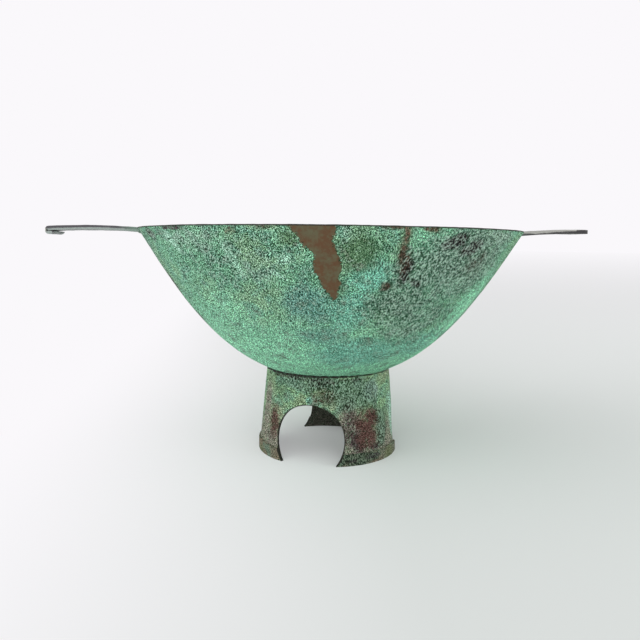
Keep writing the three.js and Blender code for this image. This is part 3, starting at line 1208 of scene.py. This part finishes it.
    def strewn(
        self,
        draw: random.Random,
        span: tuple[float, float],
        sizes: dict[Tone, tuple[float, float, int]],
        strengths: tuple[float, float],
        inner: bool = False,
    ) -> list[Patch]:
        """Strews patches where the photograph shows none.

        Args:
            draw: source of the random numbers.
            span: azimuths between which they lie.
            sizes: half width, half height and count of each tone's patches.
            strengths: least and most strength.
            inner: whether they lie on the inside.

        Returns:
            The patches.
        """
        levels = (self.stand + self.strewn_above, self.rim_height - self.strewn_below)
        return [
            Patch(
                tone,
                draw.uniform(*span),
                draw.uniform(*levels),
                half_width * draw.uniform(*self.strewn_sizes),
                half_height * draw.uniform(*self.strewn_sizes),
                tilt=draw.uniform(*self.strewn_tilts),
                strength=draw.uniform(*strengths),
                inner=inner,
            )
            for tone, (half_width, half_height, count) in sizes.items()
            for _ in range(count)
        ]

    @staticmethod
    def streak() -> list[Point]:
        """Outlines the worn streak that runs down from the rim.

        Returns:
            Azimuths and heights of its corners.
        """
        left = [(250.6, 179.0), (253.4, 172.6), (255.5, 164.0), (257.2, 161.0), (257.6, 150.0)]
        tail = [(259.2, 141.0), (261.2, 135.5), (262.2, 132.0), (263.6, 133.0), (263.8, 146.0)]
        right = [(264.8, 151.2), (262.9, 160.0), (261.9, 168.0), (262.2, 179.0)]
        return [*left, *tail, *right]

    def build(self) -> list[Piece]:
        """Spins the bowl, lays its patina and dresses it.

        Returns:
            The finished piece, alone in a list.
        """
        piece = Bench.chain("patinated_bowl", self.section())
        Bench.spin(piece, self.round_steps)
        plan = PatinaMap(piece, self.radius_at)
        plan.values[Tone.INSIDE] = np.where(plan.facing[:, 2] > self.inside_above, 1.0, 0.0)
        # Darker within edge_depth of the rim: dark patina on the lip, and partly painted shade.
        rim = (plan.height - self.rim_height) / self.edge_depth + 1.0
        plan.values[Tone.EDGE] = np.clip(rim, 0.0, 1.0)
        # Lighter fresh green lower down, fading out at belt_top: partly painted bounce light from the
        # floor.
        plan.values[Tone.FRESH] = np.clip((self.belt_top - plan.height) / self.belt_fade, 0.0, 1.0)
        plan.lay(self.patches())
        plan.wear(self.streak(), self.worn_reach)
        plan.store(self.brush_radius, self.brush_slant)
        plan.crust_group("crust")
        Bench.roughen(piece, lump=55.0, rise=0.5)
        Bench.roughen(piece, lump=5.0, rise=0.3, group="crust")
        Bench.smooth(piece)
        Bench.settle(piece, "bowl_verdigris", self.finish.material(), ["bowl"])
        return [piece]


@dataclass
class Foot:
    """Rolled foot with its arches, the bands round its legs and the brazed seam above it."""

    bowl: Bowl
    radius: float = 56.1
    taper: float = 5.1
    wall: float = 1.5
    turn: float = 6.0
    arch_radius: float = 28.2
    arch_centre: float = 17.4
    edge_round: float = 0.3
    legs: tuple[str, str, str] = ("left", "front", "back")
    band_height: float = 9.0
    band_proud: float = 0.75
    band_round: float = 0.8
    seam_gap: float = 0.05
    fillet: float = 5.0
    crust_radius: float = 1.25
    crust_azimuth: float = 232.0
    # The seam's crust has this least share of its radius, and grows towards its azimuth.
    crust_least: float = 0.3
    crust_gain: float = 1.4
    crust_spread: float = 0.55
    seat_halvings: int = 40
    round_steps: int = 240
    arch_steps: int = 144
    skirt_steps: int = 44
    band_steps: int = 8
    band_round_steps: int = 4
    fillet_steps: int = 6
    crust_steps: int = 10
    sliver: float = 0.02
    edge_reach: float = 0.8
    olive_top: float = 45.0
    olive_fade: float = 30.0
    olive_strength: float = 0.8
    inside_below: float = -0.3  # outward share of its facing below which a vertex is on the inside
    back: tuple[float, float] = (-15.0, 185.0)
    strewn_levels: tuple[float, float] = (12.0, 62.0)
    strewn_strengths: tuple[float, float] = (0.4, 0.7)
    seed: int = 11
    finish: Verdigris = Verdigris(
        "verdigris_on_rolled_strip",
        ground="#6a8c63",
        ground_warm="#738562",
        ground_cool="#5f8e69",
        sea="#69a085",
        steel="#8aa39a",
        dull="#6c6c5b",
        shade="#5a7a64",
        pale="#82ab8e",
        rust="#45342b",
        oxide="#332f2c",
        fleck="#a3c6a6",
        fleck_grey="#9fc0a8",
        # Near black inside the foot: a darker crust, and partly painted shade under the bowl.
        inside="#232b24",
        inside_stain="#1f221c",
        grain_pull=(1.02, 0.92, 1.08),
        grain_light=1.65,
        grain_depth=2.85,
        dense_depth=0.9,
        oxide_depth=0.4,
        fleck_depth=0.7,
    )
    band_finish: Verdigris = Verdigris(
        "oxide_on_base_band",
        ground="#5b5f4e",
        ground_warm="#696552",
        ground_cool="#526150",
        sea="#5d7d69",
        leaf="#5a6648",
        shade="#464c41",
        oxide="#3a3638",
        fleck="#93ac8f",
        fleck_grey="#8ba389",
        grain_depth=1.7,
        fleck_depth=0.45,
    )
    braze_finish: BrazeCrust = BrazeCrust(
        "black_scale_on_braze_filler", scale="#131512", brown="#272219", green="#384f3e"
    )

    def outside(self, height: Any) -> Any:
        """Finds the outside radius of the skirt at a height, or at many heights."""
        return self.radius - height * math.tan(math.radians(self.taper))

    def seat(self, inset: float) -> float:
        """Finds where a wall inside the skirt's outside meets the bowl.

        Args:
            inset: distance of the wall from the skirt's outside.

        Returns:
            Height at which they meet.
        """
        low, high = 0.0, self.bowl.rim_height
        for _ in range(self.seat_halvings):
            middle = (low + high) / 2
            if middle + self.seam_gap < self.bowl.underside_at(self.outside(middle) - inset):
                low = middle
            else:
                high = middle
        return low

    def leg_azimuth(self, index: int) -> float:
        """Finds the azimuth of a leg's middle."""
        return 180.0 + self.turn + index * FULL_TURN / len(self.legs)

    def arch_azimuth(self, index: int) -> float:
        """Finds the azimuth of an arch's middle."""
        return self.leg_azimuth(index) + FULL_TURN / 2 / len(self.legs)

    def cutters(self) -> list[Piece]:
        """Makes the cutters of the arches: round bars, bent as the flat strip is when rolled.

        Returns:
            One cutter for each arch.
        """
        made = []
        for index in range(len(self.legs)):
            Bench.clear()
            bpy.ops.mesh.primitive_cylinder_add(
                vertices=self.arch_steps,
                radius=self.arch_radius * MM,
                depth=self.radius * MM,
                end_fill_type="TRIFAN",
                location=(self.radius * MM, 0, self.arch_centre * MM),
                rotation=(0, QUARTER, 0),
            )
            cutter = bpy.context.object
            bpy.ops.object.transform_apply(location=True, rotation=True, scale=True)
            for vertex in cutter.data.vertices:
                out, across, height = vertex.co
                turn = across / (self.outside(height / MM) * MM)
                turn += math.radians(self.arch_azimuth(index))
                vertex.co = (out * math.cos(turn), out * math.sin(turn), height)
            made.append(cutter)
        return made

    def edge_mask(self, plan: PatinaMap) -> np.ndarray:
        """Finds how near each vertex lies to the cut edge of an arch.

        Args:
            plan: map of the piece.

        Returns:
            Shares from 0, away from it, to 1.
        """
        mask = np.zeros(len(plan.height))
        for index in range(len(self.legs)):
            turn = shorter_turn(self.arch_azimuth(index), plan.azimuth)
            across = np.radians(turn) * self.outside(plan.height)
            off = np.hypot(across, plan.height - self.arch_centre) - self.arch_radius
            mask = np.maximum(mask, np.clip(1.0 - off / self.edge_reach, 0.0, 1.0))
        return mask

    def patches(self) -> list[Patch]:
        """Lists the patches of the front one by one, and strews the rest at random.

        Returns:
            The patches.
        """
        front = {
            Tone.RUST: [
                (211.0, 29, 7.5, 14, 0.8),
                (297.0, 33, 13, 12, 0.9),
                (297.0, 20, 12, 10, 0.85),
                (258.0, 53, 12, 7, 0.5),
            ],
            Tone.OXIDE: [
                (287.0, 18, 8, 9, 0.75),
                (281.0, 28, 10, 18, 0.45),
                (303.0, 12, 8, 3, 0.8),
                (230.0, 65.5, 30, 1.4, 0.7),
                (255.0, 63, 14, 4, 0.55),
                (285.0, 65, 18, 1.5, 0.6),
            ],
            Tone.DULL: [
                (281.0, 28, 12, 22),
                (196.0, 35, 8, 30, 0.8),
                (280.0, 38, 6, 14, 0.8),
            ],
            Tone.SEA: [
                (245.5, 49.5, 3, 2.5),
                (222.0, 62, 14, 5, 0.6),
            ],
            Tone.STEEL: [(302.0, 56, 9, 8, 0.8)],
            # This pale strip along the foot's right edge is painted rim light.
            Tone.PALE: [(335.0, 33, 7, 24, 0.75)],
            Tone.LEAF: [
                (215.0, 56, 10, 8, 0.6),
                (317.0, 25, 9, 18, 0.9),
            ],
            Tone.SPECKLE: [
                (285.0, 54, 24, 14),
                (240.0, 62, 26, 6),
                (312.0, 25, 8, 18, 0.8),
            ],
        }
        strewn_sizes = {
            Tone.RUST: [(14, 16), (11, 14), (9, 12)],
            Tone.OXIDE: [(12, 10), (15, 9)],
            Tone.SEA: [(5, 5), (9, 4)],
            Tone.LEAF: [(9, 8)],
            Tone.DULL: [(8, 14), (10, 8)],
            Tone.SPECKLE: [(22, 14), (18, 12)],
        }
        draw = random.Random(self.seed)
        strewn = [
            Patch(
                tone,
                draw.uniform(*self.back),
                draw.uniform(*self.strewn_levels),
                half_width,
                half_height,
                strength=draw.uniform(*self.strewn_strengths),
            )
            for tone, sizes in strewn_sizes.items()
            for half_width, half_height in sizes
        ]
        return [*Patch.listed(front), *strewn]

    def skirt(self, cutters: Sequence[Piece]) -> Piece:
        """Rolls the skirt, opens its arches and dresses it.

        Args:
            cutters: shapes of the arches.

        Returns:
            The finished piece.
        """
        walls = []
        for inset in (0.0, self.wall):
            top = self.seat(inset)
            rows = [top * i / self.skirt_steps for i in range(self.skirt_steps + 1)]
            walls.append([(self.outside(height) - inset, height) for height in rows])
        outer, inner = walls
        piece = Bench.chain("arched_foot", [*outer, *reversed(inner)], closed=True)
        Bench.spin(piece, self.round_steps)
        for cutter in cutters:
            Bench.cut(piece, cutter)
        Bench.round_edges(piece, self.edge_round, segments=2, angle=50.0)
        Bench.clean(piece, self.sliver)
        plan = PatinaMap(piece, self.outside)
        radial = plan.facing[:, 0] * plan.places[:, 0] + plan.facing[:, 1] * plan.places[:, 1]
        plan.values[Tone.INSIDE] = np.where(radial < self.inside_below * plan.radius, 1.0, 0.0)
        plan.values[Tone.EDGE] = self.edge_mask(plan)
        olive = np.clip((self.olive_top - plan.height) / self.olive_fade, 0.0, 1.0)
        plan.values[Tone.DULL] = self.olive_strength * olive
        plan.lay(self.patches())
        plan.store(self.radius)
        Bench.roughen(piece, lump=24.0, rise=0.4)
        Bench.roughen(piece, lump=4.0, rise=0.35)
        Bench.smooth(piece)
        Bench.settle(piece, "foot_verdigris", self.finish.material(), ["foot_skirt"])
        return piece

    def bands(self, cutters: Sequence[Piece]) -> list[Piece]:
        """Rolls the band, opens its arches and parts it into one strip for each leg.

        Args:
            cutters: shapes of the arches.

        Returns:
            The finished pieces.
        """
        outside, bend = self.radius + self.band_proud, self.band_round
        rows = [self.band_height * i / self.band_steps for i in range(self.band_steps + 1)]
        wall = [(outside, height) for height in rows[:-1]]
        level = self.band_height - bend
        shoulder = arc(outside - bend, level, bend, 0.0, QUARTER, self.band_round_steps)
        back = [(self.outside(height) + self.seam_gap, height) for height in reversed(rows)]
        ring = Bench.chain("foot_band", [*wall, *shoulder, *back], closed=True)
        Bench.spin(ring, self.round_steps)
        for cutter in cutters:
            Bench.cut(ring, cutter)
        with Bench.editing(ring):
            bpy.ops.mesh.separate(type="LOOSE")
        strips = list(bpy.context.selected_objects)
        finish = self.band_finish.material()
        patches = Patch.listed(
            {
                Tone.OXIDE: [(300.0, 5.5, 8, 2.2), (282.0, 4.0, 4, 2.0, 0.8), (70.0, 5.0, 12, 2.5)],
                Tone.LEAF: [(192.0, 3.0, 6, 4, 0.8), (322.0, 4.0, 8, 6)],
                Tone.SEA: [(272.0, 3.0, 4, 2, 0.7)],
                Tone.SPECKLE: [(288.0, 5.0, 18, 8)],
            }
        )
        for strip in strips:
            Bench.clean(strip, self.sliver)
            plan = PatinaMap(strip, lambda height: outside)
            leg = self.leg_at(math.degrees(math.atan2(*plan.places.mean(axis=0)[1::-1])))
            strip.name = f"base_band_{leg}"
            strip.data.name = strip.name
            plan.values[Tone.EDGE] = self.edge_mask(plan)
            plan.lay(patches)
            plan.store(self.radius)
            Bench.roughen(strip, lump=4.0, rise=0.35)
            Bench.smooth(strip)
            Bench.settle(strip, "band_bronze", finish, [f"foot_band_{leg}"])
        return strips

    def leg_at(self, azimuth: float) -> str:
        """Finds the name of the leg that is nearest to an azimuth."""
        turns = [abs(shorter_turn(self.leg_azimuth(i), azimuth)) for i in range(len(self.legs))]
        return self.legs[turns.index(min(turns))]

    def inner_fillet(self, finish: bpy.types.Material) -> Piece:
        """Runs the fillet of filler in the corner inside the foot.

        Args:
            finish: material of the filler.

        Returns:
            The finished piece.
        """
        top = self.seat(self.wall)
        corner = self.outside(top) - self.wall
        inner = corner - self.fillet
        depth = -self.fillet - self.seam_gap
        cove = arc(inner, depth, self.fillet, QUARTER, -QUARTER, self.fillet_steps)
        section = [(corner, top), *((x, self.bowl.underside_at(x) + drop) for x, drop in cove)]
        piece = Bench.chain("foot_fillet", section, closed=True)
        Bench.spin(piece, self.round_steps)
        Bench.roughen(piece, lump=6.0, rise=0.9)
        Bench.smooth(piece)
        Bench.settle(piece, "braze_dark", finish, ["foot_braze"])
        return piece

    def seam_crust(self, finish: bpy.types.Material) -> Piece:
        """Runs the crumbly crust that shows along the seam, outside the foot.

        Args:
            finish: material of the filler.

        Returns:
            The finished piece.
        """
        seam = self.seat(0.0) - self.crust_radius / 2
        radius = self.outside(seam)
        ring = arc(radius, seam, self.crust_radius, 0.0, 2 * math.pi, self.crust_steps)[:-1]
        piece = Bench.chain("seam_crust", ring, closed=True)
        Bench.spin(piece, self.round_steps * 2)
        for vertex in piece.data.vertices:
            way = Vector((vertex.co.x, vertex.co.y, 0)).normalized()
            middle = way * (radius * MM) + Vector((0, 0, seam * MM))
            vertex.co = middle.lerp(vertex.co, self.crust_share(math.atan2(way.y, way.x)))
        Bench.roughen(piece, lump=1.8, rise=1.4)
        Bench.smooth(piece, angle=80.0)
        Bench.settle(piece, "braze_dark", finish)
        return piece

    def crust_share(self, turn: float) -> float:
        """Finds how thick the seam's crust is at an azimuth in radians, from 0 to 1."""
        near = math.cos(turn - math.radians(self.crust_azimuth)) - self.crust_spread
        return min(self.crust_least + self.crust_gain * max(near, 0.0), 1.0)

    def build(self) -> list[Piece]:
        """Builds the skirt, the bands and the brazing.

        Returns:
            The finished pieces.
        """
        cutters = self.cutters()
        pieces = [self.skirt(cutters), *self.bands(cutters)]
        filler = self.braze_finish.material()
        pieces += [self.inner_fillet(filler), self.seam_crust(filler)]
        Bench.drop(cutters)
        return pieces


class Tip(Enum):
    """Ways in which a strap ends."""

    PLAIN = "plain"
    TURNED_UNDER = "turned under"


class LitEdge(Enum):
    """Half of each strap edge that is painted light; the other half is painted shade."""

    # the lower half painted light, as if lit from the floor; the upper half painted shade
    UNDER = "lower edge"
    # the upper half painted light, as if lit from above; the lower half painted shade
    OVER = "upper edge"


@dataclass(frozen=True)
class Station:
    """One cross-section of a strap: its upper and lower edge, and half its width."""

    upper: Vector
    lower: Vector
    half_width: float

    def place(self, across: float, up: float) -> Vector:
        """Finds a point of the section, in metres, both shares running from -1 to 1."""
        point = self.lower.lerp(self.upper, (up + 1.0) / 2.0)
        return Vector((point.x * MM, across * self.half_width * MM, point.y * MM))


@dataclass
class Strap:
    """Forged strap handle at one side of the rim, with the bead of filler under its root."""

    side: str
    bowl: Bowl
    azimuth: float
    tip: Tip
    lit_edge: LitEdge
    lift: float
    finish: ForgedStrap
    sliver: float = 0.01
    length: float = 66.0
    thickness: float = 3.3
    rise: float = 0.2
    crown: float = 1.1
    root_width: float = 44.0
    waist_width: float = 28.0
    waist_out: float = 14.0
    tip_width: float = 31.0
    tip_round: float = 3.0
    tip_steps: int = 5
    edge_round: float = 0.7
    fold_steps: int = 8
    lip_length: float = 7.0
    lip_thickness: float = 2.4
    lip_end: float = 1.0
    lip_steps: int = 6
    lip_gap: float = 0.3
    lip_opening: float = 3.5
    lip_shadow: float = 1.5
    bead: float = 1.4
    bead_out: float = 0.4
    bead_sink: float = 0.6
    bead_steps: int = 10
    bead_run_steps: int = 60
    gap: float = 0.05
    step: float = 2.0
    across_steps: int = 14
    room_steps: int = 60
    room_round_steps: int = 240
    # Shares of the strap's length or thickness, by which its edges are painted in light and shade.
    block_from: float = 0.82
    root_shade: float = 0.95
    root_fade: float = 2.2
    bar_shade: float = 0.1
    bar_climb: float = 0.75
    shadow_low: float = -0.6
    shade_blur: float = 0.3
    lit_height: float = 0.3
    face_shade: float = 0.45
    edge_band: float = 1.0
    braze_finish: BrazeCrust = BrazeCrust(
        "verdigris_on_braze_bead", scale="#5b6f62", brown="#73745d", green="#7a9983"
    )

    @property
    def reach(self) -> float:
        """Distance of the tip from the bowl's axis."""
        return self.bowl.rim_radius + self.length

    @property
    def root(self) -> float:
        """Distance from the axis at which the strap starts, inside the rim."""
        half = self.root_width / 2
        return math.sqrt(self.bowl.rim_radius**2 - half**2) - 2 * self.thickness

    def top(self, x: float) -> float:
        """Finds the height of the upper face.

        Args:
            x: distance from the axis.

        Returns:
            The height.
        """
        out = x - self.bowl.rim_radius
        share = out / self.length
        line = self.bowl.rim_height + self.rise + out * math.tan(math.radians(self.lift))
        return line + 4 * self.crown * share * (1 - share)

    def half_width(self, x: float) -> float:
        """Finds half the strap's width.

        Args:
            x: distance from the axis.

        Returns:
            Half the width.
        """
        waist, straight = self.bowl.rim_radius + self.waist_out, self.reach - self.tip_round
        start, stop = (self.root, waist) if x < waist else (waist, straight)
        first, second = self.root_width / 2, self.waist_width / 2
        if x >= waist:
            first, second = second, self.tip_width / 2
        share = clamp((x - start) / (stop - start))
        half = first + (second - first) * share * share * (3 - 2 * share)
        if x > straight:
            half -= self.tip_round - math.sqrt(max(self.tip_round**2 - (x - straight) ** 2, 0.0))
        return half

    def stations(self) -> list[Station]:
        """Lists the sections from the root to the end of the strap.

        Returns:
            The sections.
        """
        folded = self.tip is Tip.TURNED_UNDER
        outer = (self.thickness + self.lip_gap + self.lip_thickness) / 2
        end = self.reach - outer if folded else self.reach
        run = end - self.root - self.tip_round
        count = round(run / self.step)
        places = [self.root + run * i / count for i in range(count + 1)]
        for i in range(1, self.tip_steps + 1):
            places.append(end - self.tip_round * (1 - math.sin(i / self.tip_steps * QUARTER)))
        made = []
        for x in places:
            upper = Vector((x, self.top(x)))
            made.append(Station(upper, upper - Vector((0, self.thickness)), self.half_width(x)))
        return made + self.fold(end, outer) if folded else made

    def fold(self, start: float, outer: float) -> list[Station]:
        """Lists the sections round the fold and back along the lip.

        Args:
            start: distance from the axis at which the strap begins to turn under.
            outer: radius of the fold's outside.

        Returns:
            The sections.
        """
        top, slot = self.top(start), self.lip_gap / 2
        opening = math.radians(self.lip_opening)
        made = []
        for i in range(1, self.fold_steps + 1):
            turn = QUARTER - i / self.fold_steps * (math.pi - opening)
            way = Vector((math.cos(turn), math.sin(turn)))
            upper = Vector((start, top - outer)) + way * outer
            lower = Vector((start, top - self.thickness - slot)) + way * slot
            made.append(Station(upper, lower, self.half_width(upper.x)))
        last = made[-1]
        back = Vector((-math.cos(opening), -math.sin(opening)))
        inwards = Vector((math.sin(opening), math.cos(opening)))
        for i in range(1, self.lip_steps + 1):
            share = i / self.lip_steps
            run = back * ((self.lip_length - outer) * share)
            thinned = inwards * ((self.lip_thickness - self.lip_end) * share**3)
            made.append(Station(last.upper + run + thinned, last.lower + run, last.half_width))
        return made

    def draw(self) -> Piece:
        """Draws the strap out along +X, section by section.

        Returns:
            The closed, still square-edged strap.
        """
        stations = self.stations()
        Bench.clear()
        bpy.ops.mesh.primitive_grid_add(
            x_subdivisions=self.across_steps, y_subdivisions=2, size=2.0, location=(0, 0, 0)
        )
        piece = bpy.context.object
        piece.name = f"strap_{self.side}"
        for vertex in piece.data.vertices:
            vertex.co = stations[0].place(vertex.co.x, vertex.co.y)
        for here, there in zip(stations, stations[1:]):
            with Bench.editing(piece, everything=False):
                bpy.ops.mesh.extrude_region_move()
            axis = here.upper - here.lower
            for vertex in piece.data.vertices:
                if vertex.select:
                    point = Vector((vertex.co.x, vertex.co.z)) / MM
                    up = 2.0 * (point - here.lower).dot(axis) / axis.length_squared - 1.0
                    vertex.co = there.place(vertex.co.y / (here.half_width * MM), up)
        with Bench.editing(piece):
            bpy.ops.mesh.normals_make_consistent(inside=False)
        return piece

    def bowl_room(self) -> Piece:
        """Makes a cutter of all the room inside the bowl's wall and above it.

        Returns:
            The cutter.
        """
        wall = [self.bowl.wall_point(i / self.room_steps, self.gap) for i in range(self.room_steps + 1)]
        top = self.bowl.rim_height + self.length
        cutter = Bench.chain("bowl_room", [*wall, (wall[-1][0], top), (0.0, top)])
        Bench.spin(cutter, self.room_round_steps)
        return cutter

    def turn(self, piece: Piece) -> None:
        """Turns a piece that was drawn along +X to its own side."""
        piece.data.transform(Matrix.Rotation(math.radians(self.azimuth), 4, "Z"))

    def shade(self, place: Vector) -> float:
        """Finds the painted shade on the strap's edges, and a middle darkness on its broad faces.

        Args:
            place: place on the strap, along +X.

        Returns:
            Darkness from 0 to 1.
        """
        x = place.x
        if abs(place.y) < self.half_width(x) - self.edge_band:
            return self.face_shade
        out = (x - self.bowl.rim_radius) / self.length
        up = (place.z - self.top(x)) / self.thickness + 1.0
        # The lower part of the edge is painted light and the upper part painted shade.
        if self.lit_edge is LitEdge.UNDER:
            # Near the lip's end its upper part is painted shadow, in the gap under the strap.
            lip = self.reach - self.lip_length + self.lip_shadow
            shadowed = self.shadow_low < up < 0.0 and x < lip
            return 1.0 if shadowed else clamp((up - self.lit_height) / self.shade_blur)
        # Above the split the edge is painted light and below it painted shade; past block_from it is
        # dark.
        split = max(self.root_shade - self.root_fade * out, self.bar_shade + self.bar_climb * out)
        return clamp(((split if out < self.block_from else 1.0) - up) / self.shade_blur + 0.5)

    def grey_and_painted_light(self, piece: Piece) -> None:
        """Keeps on the strap, as vertex attributes, its painted shade and where its tip is worn.

        Args:
            piece: strap that still lies along +X.
        """
        places = [vertex.co / MM for vertex in piece.data.vertices]
        worn = [clamp((place.x - self.reach) / self.tip_round + 1.0) for place in places]
        layers = {
            self.finish.shade_layer: [self.shade(place) for place in places],
            self.finish.worn_layer: worn,
        }
        for name, values in layers.items():
            layer = piece.data.attributes.new(name, "FLOAT", "POINT")
            layer.data.foreach_set("value", values)

    def handle(self) -> Piece:
        """Draws the strap, seats it on the bowl and dresses it.

        Returns:
            The finished piece.
        """
        piece = self.draw()
        Bench.round_edges(piece, self.edge_round, segments=3, angle=55.0)
        room = self.bowl_room()
        Bench.cut(piece, room)
        Bench.clean(piece, self.sliver)
        Bench.drop([room])
        Bench.apply(piece, "SUBSURF", subdivision_type="SIMPLE", levels=1, render_levels=1)
        self.grey_and_painted_light(piece)
        self.turn(piece)
        Bench.roughen(piece, lump=9.0, rise=0.5)
        Bench.smooth(piece)
        Bench.settle(piece, "strap_grey", self.finish.material(), [f"handle_{self.side}"])
        return piece

    def filler(self) -> Piece:
        """Runs the bead of filler under the strap's root.

        Returns:
            The finished piece.
        """
        under = self.bowl.rim_height + self.rise - self.thickness
        corner = float(self.bowl.radius_at(under))
        half = self.bead / 2
        out, level = corner + half * self.bead_out, under - half * self.bead_sink
        ring = arc(out, level, half, 0.0, 2 * math.pi, self.bead_steps)[:-1]
        sweep = math.degrees((self.root_width - 2 * self.bead) / corner)
        piece = Bench.chain(f"root_bead_{self.side}", ring, closed=True)
        Bench.spin(piece, self.bead_run_steps, start=sweep / 2, sweep=sweep)
        self.turn(piece)
        Bench.roughen(piece, lump=3.0, rise=0.6)
        Bench.smooth(piece, angle=80.0)
        Bench.settle(piece, "braze_dark", self.braze_finish.material(), [f"handle_braze_{self.side}"])
        return piece

    def build(self) -> list[Piece]:
        """Builds the strap and its bead."""
        return [self.handle(), self.filler()]


@dataclass(frozen=True)
class Lamp:
    """One softbox of the studio, in metres and watts."""

    name: str
    place: tuple[float, float, float]
    size: float
    power: float

    def build(self, aim: Vector) -> None:
        """Hangs the lamp and turns it to the object.

        Args:
            aim: point that it faces, in metres.
        """
        light = bpy.data.lights.new(self.name, "AREA")
        light.shape = "DISK"
        light.size = self.size
        light.energy = self.power
        lamp = bpy.data.objects.new(self.name, light)
        bpy.context.scene.collection.objects.link(lamp)
        lamp.location = self.place
        lamp.rotation_mode = "QUATERNION"
        lamp.rotation_quaternion = (aim - lamp.location).to_track_quat("-Z", "Y")


@dataclass
class Studio:
    """Pale floor, soft light all round, and the camera at the photograph's angle.

    The floor and the light are in metres, and the camera's place is in millimetres.
    """

    floor_size: float = 80.0
    paper: PaperFloor = PaperFloor("matte_paper_floor")
    daylight: str = "#ffffff"
    ambient: float = 0.68
    aim: tuple[float, float, float] = (0.0, 0.0, 0.1)
    lamps: tuple[Lamp, ...] = (
        Lamp("softbox_left", (-1.1, -0.3, 0.7), 1.4, 2.8),
        Lamp("softbox_front", (-0.3, -1.9, 0.3), 1.8, 9.0),
        Lamp("softbox_right", (1.3, -0.5, 0.5), 1.4, 4.4),
    )
    lens: float = 35.617
    sensor: float = 36.0
    nearest: float = 10.0
    distance: float = 517.5
    camera_height: float = 165.0
    round_from_front: float = 8.8
    aside: float = 0.79
    pitch: float = 6.70
    roll: float = 0.696
    shift: float = 1.0 / 640.0  # one pixel of the photograph

    def floor(self) -> None:
        """Lays the floor, which fades into the white background behind and towards the light."""
        Bench.clear()
        bpy.ops.mesh.primitive_plane_add(size=self.floor_size, location=(0, 0, 0))
        floor = bpy.context.object
        floor.name = "studio_floor"
        floor.data.materials.append(self.paper.material())

    def air(self) -> None:
        """Lights the scene softly from all round, and shows white behind the object."""
        world = bpy.data.worlds.new("studio_air")
        bpy.context.scene.world = world
        tree = new_tree(world)
        path = add_node(tree, "ShaderNodeLightPath").outputs
        shown = path["Is Camera Ray"]
        for ray in ("Is Glossy Ray", "Is Transmission Ray"):
            inputs = {0: shown, 1: path[ray]}
            shown = add_node(tree, "ShaderNodeMath", inputs, operation="MAXIMUM").outputs[0]
        inputs = {"Color": self.daylight, "Strength": self.ambient}
        soft = add_node(tree, "ShaderNodeBackground", inputs).outputs[0]
        white = add_node(tree, "ShaderNodeBackground", {"Color": self.paper.white}).outputs[0]
        mix = add_node(tree, "ShaderNodeMixShader", {0: shown, 1: soft, 2: white})
        add_node(tree, "ShaderNodeOutputWorld", {"Surface": mix.outputs[0]})

    def camera(self) -> None:
        """Stands the camera where the photograph was taken from."""
        lens = bpy.data.cameras.new("photo_camera")
        lens.lens = self.lens
        lens.sensor_width = self.sensor
        lens.shift_y = self.shift
        lens.clip_start = self.nearest * MM
        camera = bpy.data.objects.new("photo_camera", lens)
        bpy.context.scene.collection.objects.link(camera)
        bpy.context.scene.camera = camera
        turn = math.radians(self.round_from_front)
        place = Vector((-math.sin(turn), -math.cos(turn), 0.0)) * self.distance
        place.z = self.camera_height
        heading = Matrix.Rotation(math.radians(self.aside - self.round_from_front), 4, "Z")
        pitch = Matrix.Rotation(math.radians(90.0 - self.pitch), 4, "X")
        roll = Matrix.Rotation(math.radians(self.roll), 4, "Z")
        camera.matrix_world = Matrix.Translation(place * MM) @ heading @ pitch @ roll

    def build(self) -> None:
        """Sets up the floor, the light and the camera."""
        self.camera()
        self.floor()
        self.air()
        for lamp in self.lamps:
            lamp.build(Vector(self.aim))
        bpy.context.scene.view_settings.view_transform = "Standard"


def main() -> None:
    """Loads the frame, sets up the studio, and builds and reports every piece."""
    logging.basicConfig(level=logging.INFO, format="%(name)s %(message)s")
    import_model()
    Studio().build()
    bowl = Bowl.from_frame()
    # The left strap's edges are painted light below and shade above; the right one's light above and
    # shade below.
    grey = ForgedStrap("oxide_on_forged_bar_painted_light_below")
    tones = {"grey_and_painted_light": "#aaa9a4", "dark": "#3b393b", "worn": "#6b6e66", "green": "#586a5e"}
    pale = ForgedStrap("oxide_on_forged_bar_painted_light_above", **tones)
    assemblies = [
        bowl,
        Foot(bowl),
        Strap("left", bowl, 180.0, Tip.TURNED_UNDER, LitEdge.UNDER, lift=-0.2, finish=grey),
        Strap("right", bowl, 0.0, Tip.PLAIN, LitEdge.OVER, lift=3.0, finish=pale, sliver=0.04),
    ]
    for assembly in assemblies:
        for piece in assembly.build():
            finish = piece.data.materials[0].name
            LOG.info("%s: %d faces, %s", piece.name, len(piece.data.polygons), finish)


if __name__ == "__main__":
    main()
